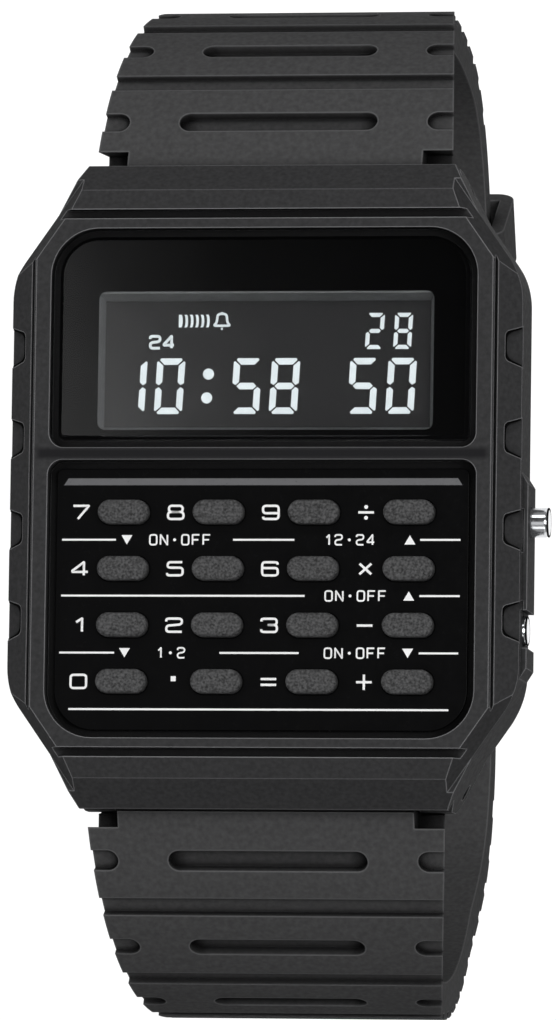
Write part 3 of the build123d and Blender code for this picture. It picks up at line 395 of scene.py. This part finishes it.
def make_inks():
    """Print, display segments and dark lines of painted shade, shadow and reflection, which are pieces of
    this script alone.
    """
    return {
        "white_ink": surface(
            "white_ink", (0.82, 0.82, 0.82), 0.45, grain=0.06, relief=1e-6, mottle=0.03,
        ),
        "grey_ink": surface("grey_ink", (0.1, 0.1, 0.105), 0.35, grain=0.06, relief=1e-6, mottle=0.05),
        "pale_segment": surface(
            "pale_segment", (0.55, 0.6, 0.62), 0.4, grain=0.05, relief=1e-6, mottle=0.04,
        ),
        "segment_shadow_ink": surface("segment_shadow_ink", (0.004, 0.004, 0.004), 0.4, grain=0.05, relief=1e-6),
        "black_print": surface(
            "black_print", (0.0008, 0.0008, 0.0009), 0.6, grain=0.2, relief=1e-6, Specular_IOR_Level=0.0,
        ),
        # dark ink for the painted shade in the notches and the painted reflection round the pusher ends
        "shade_and_reflection_ink": surface(
            "shade_and_reflection_ink", (0.003, 0.003, 0.003), 0.7, grain=0.1, relief=2e-6, Specular_IOR_Level=0.01,
        ),
    }


def dress_nodes(materials):
    """Gives each carried-over node the material of its slot in the record."""
    for entry in frame["record"]["subparts"]:
        node = frame["nodes"][entry["node"]]
        node.data.materials.clear()
        node.data.materials.append(materials[entry["material_slot"]])


# Pieces
def finish_mesh(name, mesh, material, body=HEAD):
    """A piece of that mesh and material, which rides on a body."""
    piece = bpy.data.objects.new(name, mesh)
    bpy.context.scene.collection.objects.link(piece)
    mesh.materials.append(material)
    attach(piece, body)
    return piece


def fold_springs(steel):
    """Each pusher's spring is copied onto the pusher, so it rides with the pusher as it goes in, and the
    carried-over spring is hidden.
    """
    for side in ("mode", "adjust"):
        node = side + "_spring"
        mesh = frame["nodes"][node].data.copy()
        mesh.name = node + "_coil"
        mesh.materials.clear()
        coil = finish_mesh(node + "_coil", mesh, steel, side + "_pusher")
        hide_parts(node)
        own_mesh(coil)


def to_mesh(name, shape):
    """A new mesh of the finished shape."""
    mesh = bpy.data.meshes.new(name)
    shape.to_mesh(mesh)
    shape.free()
    return mesh


def join_rings(shape, one, two):
    """Faces between two closed rings of points."""
    for step in range(len(one)):
        after = (step + 1) % len(one)
        shape.faces.new((one[step], one[after], two[after], two[step]))


def plates(name, outlines, low, high, material):
    """One piece of flat plates: each outline is a list of points in millimetres, seen from above."""
    shape = bmesh.new()
    for outline in outlines:
        below, above = [[shape.verts.new((x * MM, y * MM, z)) for x, y in outline] for z in (low, high)]
        shape.faces.new(reversed(below))
        shape.faces.new(above)
        join_rings(shape, below, above)
    bmesh.ops.recalc_face_normals(shape, faces=shape.faces)
    return finish_mesh(name, to_mesh(name, shape), material)


RIBBON_ROUNDNESS = 2


def ribbons(name, strokes, width, height, level, material, body=HEAD):
    """One piece of flat ribbons along strokes: each is a list of points in millimetres and closed or not."""
    curve = bpy.data.curves.new(name, "CURVE")
    curve.dimensions = "3D"
    curve.bevel_depth = width / 2 * MM
    curve.bevel_resolution = RIBBON_ROUNDNESS
    curve.use_fill_caps = True
    for points, closed in strokes:
        spline = curve.splines.new("POLY")
        spline.points.add(len(points) - 1)
        for point, (x, y) in zip(spline.points, points):
            point.co = (x * MM, y * MM, 0, 1)
        spline.use_cyclic_u = closed
    tube = bpy.data.objects.new(name, curve)
    mesh = bpy.data.meshes.new_from_object(tube)
    bpy.data.objects.remove(tube)
    flat = Matrix.Diagonal((1, 1, height / width, 1))
    mesh.transform(Matrix.Translation((0, 0, level)) @ flat)
    return finish_mesh(name, mesh, material, body)


def rounded(points, radius, closed=False, steps=4):
    """The points with each corner turned into an arc of about that radius, one for all or one each."""
    result = []
    count = len(points)
    radii = radius if isinstance(radius, list) else [radius] * count
    for index, point in enumerate(points):
        if not closed and index in (0, count - 1):
            result.append(tuple(point))
            continue
        corner = Vector(point)
        before = Vector(points[index - 1]) - corner
        after = Vector(points[(index + 1) % count]) - corner
        start = corner + before.normalized() * min(radii[index], before.length / 2)
        end = corner + after.normalized() * min(radii[index], after.length / 2)
        for step in range(steps + 1):
            share = step / steps
            spot = (1 - share) ** 2 * start + 2 * share * (1 - share) * corner + share ** 2 * end
            result.append(tuple(spot))
    return result


# Numerals and signs as strokes in a square of side 1
SIGNS = {
    "0": [([(0, 0), (1, 0), (1, 1), (0, 1)], True)],
    "1": [([(0.3, 0.72), (0.68, 1), (0.68, 0)], False)],
    "2": [([(0, 0.78), (0, 1), (1, 1), (1, 0.56), (0, 0.46), (0, 0), (1, 0)], False)],
    "3": [
        ([(0, 0.8), (0, 1), (0.98, 1), (0.98, 0.53), (0.4, 0.53)], False),
        ([(0.4, 0.53), (1, 0.53), (1, 0), (0, 0), (0, 0.2)], False),
    ],
    "4": [([(0.74, 0), (0.74, 1), (0, 0.34), (0, 0.26), (1, 0.26)], False)],
    "5": [([(0.96, 1), (0.04, 1), (0.02, 0.58), (1, 0.58), (1, 0), (0, 0), (0, 0.18)], False)],
    "6": [([(0.98, 0.82), (0.98, 1), (0, 1), (0, 0), (1, 0), (1, 0.56), (0.06, 0.56)], False)],
    "7": [([(0, 1), (1, 1), (0.3, 0)], False)],
    "8": [
        ([(0.06, 0.53), (0.94, 0.53), (0.94, 1), (0.06, 1)], True),
        ([(0, 0), (1, 0), (1, 0.53), (0, 0.53)], True),
    ],
    "9": [([(0.02, 0.18), (0.02, 0), (1, 0), (1, 1), (0, 1), (0, 0.44), (0.94, 0.44)], False)],
    "/": [([(0, 0.5), (1, 0.5)], False)],
    "x": [([(0.12, 0.1), (0.88, 0.9)], False), ([(0.12, 0.9), (0.88, 0.1)], False)],
    "-": [([(0, 0.5), (1, 0.5)], False)],
    "+": [([(0, 0.5), (1, 0.5)], False), ([(0.5, -0.08), (0.5, 1.08)], False)],
    "=": [([(0, 0.72), (1, 0.72)], False), ([(0, 0.28), (1, 0.28)], False)],
    "O": [([(0, 0), (1, 0), (1, 1), (0, 1)], True)],
    "N": [([(0, 0), (0, 1), (1, 0), (1, 1)], False)],
    "F": [([(1, 1), (0, 1), (0, 0)], False), ([(0, 0.5), (0.85, 0.5)], False)],
}
SHARP_SIGNS = "1x4N7F"
SHARP_ROUND = 0.02  # radius of a sign's corners as a share of its height
SOFT_ROUND = 0.24


def sign_strokes(sign, left, low, width, height):
    """A sign's strokes, placed with its lower left corner at that point."""
    radius = height * (SHARP_ROUND if sign in SHARP_SIGNS else SOFT_ROUND)
    strokes = []
    for points, closed in SIGNS[sign]:
        placed = [(left + x * width, low + y * height) for x, y in points]
        strokes.append((rounded(placed, radius, closed), closed))
    return strokes


def square(x, y, side):
    """A square round a point."""
    half = side / 2
    return [(x - half, y - half), (x + half, y - half), (x + half, y + half), (x - half, y + half)]


def disc(x, y, radius, count=20):
    """A circle of that many points round a point."""
    turns = [2 * math.pi * step / count for step in range(count)]
    return [(x + radius * math.cos(turn), y + radius * math.sin(turn)) for turn in turns]


TRIANGLE_WIDTH = 0.74
TRIANGLE_RISE = 0.42  # half the height as a share of the width


def triangle(x, y, way):
    """A small solid triangle round a point, which points up for 1 and down for -1."""
    width = TRIANGLE_WIDTH
    rise = way * width * TRIANGLE_RISE
    corners = [(x - width / 2, y - rise), (x + width / 2, y - rise), (x, y + rise)]
    return corners if way > 0 else corners[::-1]


# Print on the keypad, in millimetres
KEY_ROWS = ("789/", "456x", "123-", "0.=+")
LABEL_SHIFT = -2.93
LABEL_WIDTH = 1.05
LABEL_HEIGHT = 0.88
LABEL_STROKE = 0.17
POINT_RISE = 0.2
POINT_SIDE = 0.34
DIVISION_RISE = 0.36
DIVISION_RADIUS = 0.13
WORD_WIDTH = 0.46
WORD_HEIGHT = 0.66
WORD_STROKE = 0.12
WORD_PITCH = 0.72
WORD_DOT_RADIUS = 0.1
LINE_WIDTH = 0.13
INK_HEIGHT = 0.012
RULE_HEIGHTS = (-3.79, -7.53, -11.34, -15.11)
RULE_STRETCHES = (
    ((-13.48, -9.84), (-1.94, 2.18), (10.61, 13.31)),
    ((-13.48, 2.92), (10.61, 13.31)),
    ((-13.55, -9.84), (-2.75, 2.58), (10.61, 13.25)),
    ((-12.88, 12.64),),
)
STRIPE = ((-13.4, -0.14), (13.4, -0.14), (13.1, 0.32), (-13.1, 0.32))

# Each word's left end and rule, and each triangle's middle, rule and way
WORDS = (("ON.OFF", -7.55, 0), ("12.24", 4.2, 0), ("ON.OFF", 4.3, 1), ("1.2", -7.0, 2), ("ON.OFF", 4.3, 2))
TRIANGLES = ((-9.1, 0, -1), (9.93, 0, 1), (9.9, 1, 1), (-9.15, 2, -1), (9.87, 2, -1))


def key_middle(node):
    """The middle of a key seen from above, in millimetres."""
    low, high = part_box(node)
    return (low[0] + high[0]) / 2 / MM, (low[1] + high[1]) / 2 / MM


def key_marks():
    """Strokes and solids of the sign to the left of each key."""
    keys = [name for name in frame["bodies"] if name.startswith("key_")]
    middles = sorted((key_middle(name) for name in keys), key=lambda middle: -middle[1])
    strokes, solids = [], []
    for row, signs in enumerate(KEY_ROWS):
        row_middles = sorted(middles[row * len(signs):(row + 1) * len(signs)])
        for sign, (key_x, y) in zip(signs, row_middles):
            x = key_x + LABEL_SHIFT
            if sign == ".":
                solids.append(square(x, y + POINT_RISE, POINT_SIDE))
                continue
            left, low = x - LABEL_WIDTH / 2, y - LABEL_HEIGHT / 2
            strokes += sign_strokes(sign, left, low, LABEL_WIDTH, LABEL_HEIGHT)
            if sign == "/":
                solids += [disc(x, y + way * DIVISION_RISE, DIVISION_RADIUS) for way in (1, -1)]
    return strokes, solids


def word_marks():
    """Strokes and dots of the words and numbers between the rows of keys."""
    strokes, dots = [], []
    for word, left, rule in WORDS:
        y = RULE_HEIGHTS[rule]
        for step, sign in enumerate(word):
            x = left + step * WORD_PITCH
            if sign == ".":
                dots.append(disc(x + WORD_WIDTH / 2, y, WORD_DOT_RADIUS))
            else:
                strokes += sign_strokes(sign, x, y - WORD_HEIGHT / 2, WORD_WIDTH, WORD_HEIGHT)
    return strokes, dots


def rule_marks():
    """The rules between the rows of keys, and the triangles on them."""
    half = LINE_WIDTH / 2
    rules = [
        [(left, y - half), (right, y - half), (right, y + half), (left, y + half)]
        for y, stretches in zip(RULE_HEIGHTS, RULE_STRETCHES)
        for left, right in stretches
    ]
    return rules + [triangle(x, RULE_HEIGHTS[rule], way) for x, rule, way in TRIANGLES]


def print_keypad(ink, grey):
    """The print on the keypad plate: white signs, words and rules, and a grey stripe along its top."""
    signs, solids = key_marks()
    words, dots = word_marks()
    ink_top = panel_top + INK_HEIGHT * MM
    ribbons("key_signs", signs, LABEL_STROKE, INK_HEIGHT, panel_top, ink)
    ribbons("small_signs", words, WORD_STROKE, INK_HEIGHT, panel_top, ink)
    plates("rule_lines", solids + dots + rule_marks(), panel_top, ink_top, ink)
    plates("top_stripe", [STRIPE], panel_top, ink_top, grey)


# Display, in millimetres: a digit's size is its width, height and stroke
SEGMENTS = {"0": "abcdef", "1": "bc", "2": "abged", "5": "afgcd", "8": "abcdefg"}
SLANT = 0.054
DIGIT = (1.9, 3.74, 0.43)
SMALL_DIGIT = (1.2, 2.42, 0.27)
SEGMENT_GAP = 0.07
SEGMENT_CUT = 0.6  # cut corner of a segment as a share of its stroke
SEGMENT_HEIGHT = 0.01
DIGIT_LOW = 4.77
DIGITS = (("1", -10.2), ("0", -7.64), ("5", -2.45), ("8", 0.12), ("5", 5.4), ("0", 7.97))
SMALL_LOW = 9.11
SMALL_DIGITS = (("2", 6.55), ("8", 8.45))
COLON = ((-3.97, 7.45), (-4.07, 5.85))
COLON_RADIUS = 0.37

# Sound bars and bell of the display
BAR_COUNT = 6
BAR_LEFT = -6.03
BAR_PITCH = 0.365
BAR_WIDTH = 0.17
BAR_BULGE = 0.09
BAR_STEPS = 8
BAR_MIDDLE = 11.02
BAR_HALF_HEIGHT = 0.42
BELL = (
    (-3.7, 10.7), (-3.46, 10.9), (-3.42, 11.5), (-2.8, 11.5), (-2.76, 10.9), (-2.52, 10.7),
)
BELL_ROUND = 0.24
BELL_STROKE = 0.17
BELL_MIDDLE = -3.11
KNOB_LEVELS = (11.48, 11.62)
CLAPPER_LEVEL = 10.5
CLAPPER_HALF = 0.07

# Hour mode of the display, and the painted shadow round each segment
MODE_SIGNS = "24"
MODE_LEFT = -7.95
MODE_LOW = 9.2
MODE_PITCH = 0.95
MODE_SIZE = (0.66, 0.8)
MODE_STROKE = 0.2
STROKE_HEIGHT = 0.02
OUTLINE_WIDTH = 0.12
OUTLINE_HEIGHT = 0.014


def segment_shapes(width, height, thick):
    """The seven segments of a digit, upright, from its lower left corner."""
    gap, cut, mid = SEGMENT_GAP, thick * SEGMENT_CUT, height / 2
    upper_left = [
        (0, height - cut), (cut / 2 - gap / 2, height - cut / 2 - gap), (thick, height - thick - gap),
        (thick, mid + thick / 2 + gap), (thick / 2, mid + gap), (0, mid + thick / 3 + gap),
    ]
    top = [
        (cut, height), (cut / 2 + gap, height - cut / 2), (thick + gap, height - thick),
        (width - thick - gap, height - thick), (width - cut / 2 - gap, height - cut / 2),
        (width - cut, height),
    ]
    middle = [
        (thick / 2 + gap, mid), (thick + gap, mid - thick / 2), (width - thick - gap, mid - thick / 2),
        (width - thick / 2 - gap, mid), (width - thick - gap, mid + thick / 2),
        (thick + gap, mid + thick / 2),
    ]

    def mirrored(shape):
        return [(width - x, y) for x, y in shape][::-1]

    def flipped(shape):
        return [(x, height - y) for x, y in shape][::-1]

    return {
        "a": top, "b": mirrored(upper_left), "c": flipped(mirrored(upper_left)), "d": flipped(top),
        "e": flipped(upper_left), "f": upper_left, "g": middle,
    }


def digit_shapes(digit, left, low, size):
    """The lit segments of a slanted digit, placed with its lower left corner at that point."""
    shapes = segment_shapes(*size)
    return [
        [(left + x + SLANT * y, low + y) for x, y in shapes[name]] for name in SEGMENTS[digit]
    ]


def sound_bars():
    """Upright bars that bulge to the right, the first one flat on its left."""
    turns = [math.pi * (step / BAR_STEPS - 0.5) for step in range(BAR_STEPS + 1)]
    bulge = [
        (BAR_BULGE * math.cos(turn), BAR_MIDDLE + BAR_HALF_HEIGHT * math.sin(turn)) for turn in turns
    ]
    bars = []
    for step in range(BAR_COUNT):
        left = BAR_LEFT + step * BAR_PITCH
        outer = [(left + BAR_WIDTH + x, y) for x, y in bulge]
        inner = [(left + (x if step else 0), y) for x, y in bulge]
        bars.append(outer + inner[::-1])
    return bars


def light_display(pale, dark):
    """The display's segments, bell and hour mode, with a painted shadow round each segment."""
    shapes = [disc(x, y, COLON_RADIUS) for x, y in COLON] + sound_bars()
    for digit, left in DIGITS:
        shapes += digit_shapes(digit, left, DIGIT_LOW, DIGIT)
    for digit, left in SMALL_DIGITS:
        shapes += digit_shapes(digit, left, SMALL_LOW, SMALL_DIGIT)
    plates("lcd_segments", shapes, display_top, display_top + SEGMENT_HEIGHT * MM, pale)
    bell = [
        (rounded(BELL, BELL_ROUND, True), True),
        ([(BELL_MIDDLE, level) for level in KNOB_LEVELS], False),
        ([(BELL_MIDDLE + way * CLAPPER_HALF, CLAPPER_LEVEL) for way in (-1, 1)], False),
    ]
    ribbons("lcd_bell", bell, BELL_STROKE, STROKE_HEIGHT, display_top, pale)
    mode = []
    for step, sign in enumerate(MODE_SIGNS):
        mode += sign_strokes(sign, MODE_LEFT + step * MODE_PITCH, MODE_LOW, *MODE_SIZE)
    ribbons("lcd_mode", mode, MODE_STROKE, STROKE_HEIGHT, display_top, pale)
    # Painted shadow: a dark line round each segment
    outlines = [(shape, True) for shape in shapes]
    ribbons("lcd_segment_shadows", outlines, OUTLINE_WIDTH, OUTLINE_HEIGHT, display_top, dark)


# Print on the underside of the window round its opening, in millimetres
PRINT_HALF_WIDTH = 11.3
PRINT_LOW = 3.62
PRINT_HIGH = 12.92
PRINT_ROUND = 0.6
PRINT_INSET = 0.04
PRINT_RISE = 0.02
PRINT_STEPS = 8
GLASS_HIGH_ROUND = 2.61
GLASS_LOW_ROUND = 0.41
ARC_CUT = 1.17  # how much farther an arc's tangent points lie for this way of rounding


def rectangle(left, low, right, high):
    """The corners of a rectangle, counted against the clock from the lower left."""
    return [(left, low), (right, low), (right, high), (left, high)]


def print_window(black):
    """A black sheet inside the glass with a clear opening over the display."""
    left, low = glass_low[0] / MM + PRINT_INSET, glass_low[1] / MM + PRINT_INSET
    right, high = glass_high[0] / MM - PRINT_INSET, glass_high[1] / MM - PRINT_INSET
    rounds = (GLASS_LOW_ROUND, GLASS_LOW_ROUND, GLASS_HIGH_ROUND, GLASS_HIGH_ROUND)
    radii = [radius * ARC_CUT for radius in rounds]
    outer = rounded(rectangle(left, low, right, high), radii, True, PRINT_STEPS)
    opening = rounded(
        rectangle(-PRINT_HALF_WIDTH, PRINT_LOW, PRINT_HALF_WIDTH, PRINT_HIGH), PRINT_ROUND, True, PRINT_STEPS
    )
    shape = bmesh.new()
    level = glass_low[2] + PRINT_RISE * MM
    rings = [[shape.verts.new((x * MM, y * MM, level)) for x, y in ring] for ring in (outer, opening)]
    join_rings(shape, *rings)
    finish_mesh("window_print", to_mesh("window_print", shape), black)


# Painted reflection: a dark ring round the end of each pusher, in millimetres
RING_WIDTH = 0.13
RING_BACK = 0.075
RING_SIDES = 48


def ring_pushers(material):
    """A dark ring round the rim of each pusher's end: a painted reflection of the dark room in its rounded
    rim.
    """
    for node in ("mode_pusher", "adjust_pusher"):
        low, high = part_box(node)
        middle = Vector((high[0] - RING_BACK * MM, (low[1] + high[1]) / 2, (low[2] + high[2]) / 2))
        radius = (high[2] - low[2]) / 2 / MM - RING_WIDTH / 2
        strokes = [(disc(0, 0, radius, RING_SIDES), True)]
        ring = ribbons(node + "_ring", strokes, RING_WIDTH, RING_WIDTH, 0, material, node)
        ring.data.transform(Matrix.Translation(middle) @ Matrix.Rotation(math.pi / 2, 4, "Y"))


# Painted shade in the notches of the sloped sides, in millimetres
SLOPE_FOOT = (17.2, 6.6)  # out from the middle and up from the back
SLOPE_HEAD = (15.7, 7.92)
NOTCH_MIDDLES = (-9.15, -3.05, 3.05, 9.15)  # along the case
NOTCH_FOOT_HALF = 1.33
NOTCH_HEAD_HALF = 0.93
NOTCH_RISE = 1.36  # up the slope
NOTCH_ROUND = 0.5
SHADE_START = 0.03
SHADE_WIDTH = 0.12
SHADE_LEVELS = (-0.31, -0.03)  # bottom and top of the wall, out from the slope


def notch_outline(inset):
    """A notch's flanks and head, seen square to the slope, moved in by the inset."""
    foot, head, rise = NOTCH_FOOT_HALF - inset, NOTCH_HEAD_HALF - inset, NOTCH_RISE - inset
    return rounded([(-foot, SHADE_START), (-head, rise), (head, rise), (foot, SHADE_START)], NOTCH_ROUND)


def shade_notches(material):
    """Painted shade: a dark wall along the flanks of each notch, which shows as a narrow line of shade in
    the gap there.
    """
    run, rise = SLOPE_FOOT[0] - SLOPE_HEAD[0], SLOPE_HEAD[1] - SLOPE_FOOT[1]
    length = math.hypot(run, rise)
    shape = bmesh.new()
    for side in (1, -1):
        along = Vector((0, side, 0))
        up = Vector((-side * run / length, 0, rise / length))
        out = Vector((side * rise / length, 0, run / length))
        foot = Vector((side * SLOPE_FOOT[0], 0, SLOPE_FOOT[1]))
        for middle in NOTCH_MIDDLES:
            outer, inner = [
                [
                    [
                        shape.verts.new((foot + along * (middle + x) + up * y + out * level) * MM)
                        for x, y in notch_outline(inset)
                    ]
                    for level in SHADE_LEVELS
                ]
                for inset in (0.0, SHADE_WIDTH)
            ]
            lines = [*outer, *reversed(inner)]
            for step in range(len(lines[0]) - 1):
                for one, two in zip(lines, lines[1:] + lines[:1]):
                    shape.faces.new((one[step], one[step + 1], two[step + 1], two[step]))
            for end in (0, -1):
                shape.faces.new([line[end] for line in lines])
    bmesh.ops.recalc_face_normals(shape, faces=shape.faces)
    finish_mesh("notch_shade_strips", to_mesh("notch_shade_strips", shape), material)


# Studio: a pale floor and soft lamps, each with its place, width, height and power
LAMP_TARGET = Vector((0, 0, 0))
LAMPS = {
    "lamp_left": ((-0.46, 0.1, 0.42), 0.25, 0.5, 1.0),
    "lamp_right": ((0.3, 0.0, 0.52), 0.25, 0.5, 2.15),
    "lamp_top": ((0, 0.45, 0.45), 0.5, 0.2, 1.1),
    "lamp_low": ((0, -0.45, 0.45), 0.5, 0.2, 0.45),
}
FLOOR_DROP = 18.5 * MM  # room below the strap for its tail at the end of its swing
FLOOR_RADIUS = 3.0
FLOOR_SIDES = 64
FLOOR_COLOUR = 0.22
FLOOR_ROUGHNESS = 0.9
FLOOR_GLOW = 0.9


def add_lamp(name, place, width, height, power):
    """A soft lamp that faces the target."""
    data = bpy.data.lights.new(name, "AREA")
    data.shape = "RECTANGLE"
    data.size = width
    data.size_y = height
    data.energy = power
    lamp = bpy.data.objects.new(name, data)
    lamp.location = place
    lamp.rotation_euler = (LAMP_TARGET - Vector(place)).to_track_quat("-Z", "Y").to_euler()
    bpy.context.scene.collection.objects.link(lamp)


def seen_glow(material):
    """The floor's glow, which only rays from the camera, off a mirror or through a window meet."""
    nodes, links = material.node_tree.nodes, material.node_tree.links
    path = nodes.new("ShaderNodeLightPath")
    direct = nodes.new("ShaderNodeMath")
    either = nodes.new("ShaderNodeMath")
    either.use_clamp = True
    glow = nodes.new("ShaderNodeMath")
    glow.operation = "MULTIPLY"
    glow.inputs[1].default_value = FLOOR_GLOW
    links.new(path.outputs["Is Camera Ray"], direct.inputs[0])
    links.new(path.outputs["Is Glossy Ray"], direct.inputs[1])
    links.new(direct.outputs[0], either.inputs[0])
    links.new(path.outputs["Is Transmission Ray"], either.inputs[1])
    links.new(either.outputs[0], glow.inputs[0])
    return glow.outputs[0]


def add_floor():
    """A wide pale floor below the strap."""
    shape = bmesh.new()
    bmesh.ops.create_circle(shape, cap_ends=True, radius=FLOOR_RADIUS, segments=FLOOR_SIDES)
    mesh = to_mesh("floor", shape)
    floor = bpy.data.objects.new("floor", mesh)
    floor.location.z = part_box("strap_6")[0][2] - FLOOR_DROP
    bpy.context.scene.collection.objects.link(floor)
    material, shader = new_material("floor")
    shader.inputs["Base Color"].default_value = (*[FLOOR_COLOUR] * 3, 1)
    shader.inputs["Roughness"].default_value = FLOOR_ROUGHNESS
    shader.inputs["Emission Color"].default_value = (1, 1, 1, 1)
    material.node_tree.links.new(seen_glow(material), shader.inputs["Emission Strength"])
    mesh.materials.append(material)


# Room: brightness by height above eye level, and of a bright card that ends softly left of overhead
ROOM_HEIGHTS = ((0.2, 0.3), (0.85, 0.03))
CARD_WAY = (-1.0, -0.4, 0.0)
CARD_RANGE = (0.08, 0.33)
CARD_STEPS = ((0.0, 0.0), (0.1, 0.06), (0.15, 0.25), (0.18, 0.6), (0.24, 0.9), (0.6, 0.8), (1.0, 0.1))


def grey_ramp(nodes, steps):
    """A ramp of greys: each step is a position and a brightness."""
    node = nodes.new("ShaderNodeValToRGB")
    ramp = node.color_ramp
    while len(ramp.elements) < len(steps):
        ramp.elements.new(1.0)
    for element, (position, level) in zip(ramp.elements, steps):
        element.position = position
        element.color = (level, level, level, 1)
    return node


def light_world():
    """A room that is pale at eye level and dark overhead, with a card on the left."""
    world = bpy.data.worlds.new("world")
    bpy.context.scene.world = world
    world.use_nodes = True
    nodes, links = world.node_tree.nodes, world.node_tree.links
    nodes.clear()
    output = nodes.new("ShaderNodeOutputWorld")
    glow = nodes.new("ShaderNodeBackground")
    place = nodes.new("ShaderNodeTexCoord")
    split = nodes.new("ShaderNodeSeparateXYZ")
    links.new(place.outputs["Generated"], split.inputs[0])
    room = grey_ramp(nodes, ROOM_HEIGHTS)
    links.new(split.outputs["Z"], room.inputs[0])
    along = nodes.new("ShaderNodeVectorMath")
    along.operation = "DOT_PRODUCT"
    along.inputs[1].default_value = CARD_WAY
    links.new(place.outputs["Generated"], along.inputs[0])
    stretch = nodes.new("ShaderNodeMapRange")
    stretch.inputs["From Min"].default_value = CARD_RANGE[0]
    stretch.inputs["From Max"].default_value = CARD_RANGE[1]
    links.new(along.outputs["Value"], stretch.inputs["Value"])
    card = grey_ramp(nodes, CARD_STEPS)
    links.new(stretch.outputs["Result"], card.inputs[0])
    both = nodes.new("ShaderNodeMix")
    both.data_type = "RGBA"
    both.blend_type = "ADD"
    both.inputs["Factor"].default_value = 1.0
    links.new(room.outputs[0], both.inputs["A"])
    links.new(card.outputs[0], both.inputs["B"])
    links.new(both.outputs["Result"], glow.inputs["Color"])
    links.new(glow.outputs[0], output.inputs[0])


def main():
    """Dresses the frame, prints its marks and lights the studio."""
    bpy.context.scene.view_settings.view_transform = "Standard"
    add_camera()
    materials = make_materials()
    inks = make_inks()
    shade_crossbar(materials["case_resin"])
    dress_nodes(materials)
    fold_springs(materials["spring_steel"])
    print_keypad(inks["white_ink"], inks["grey_ink"])
    light_display(inks["pale_segment"], inks["segment_shadow_ink"])
    print_window(inks["black_print"])
    # painted shade in the notches
    shade_notches(inks["shade_and_reflection_ink"])
    # painted reflection round the pusher ends
    ring_pushers(inks["shade_and_reflection_ink"])
    add_floor()
    light_world()
    for name, lamp in LAMPS.items():
        add_lamp(name, *lamp)


main()
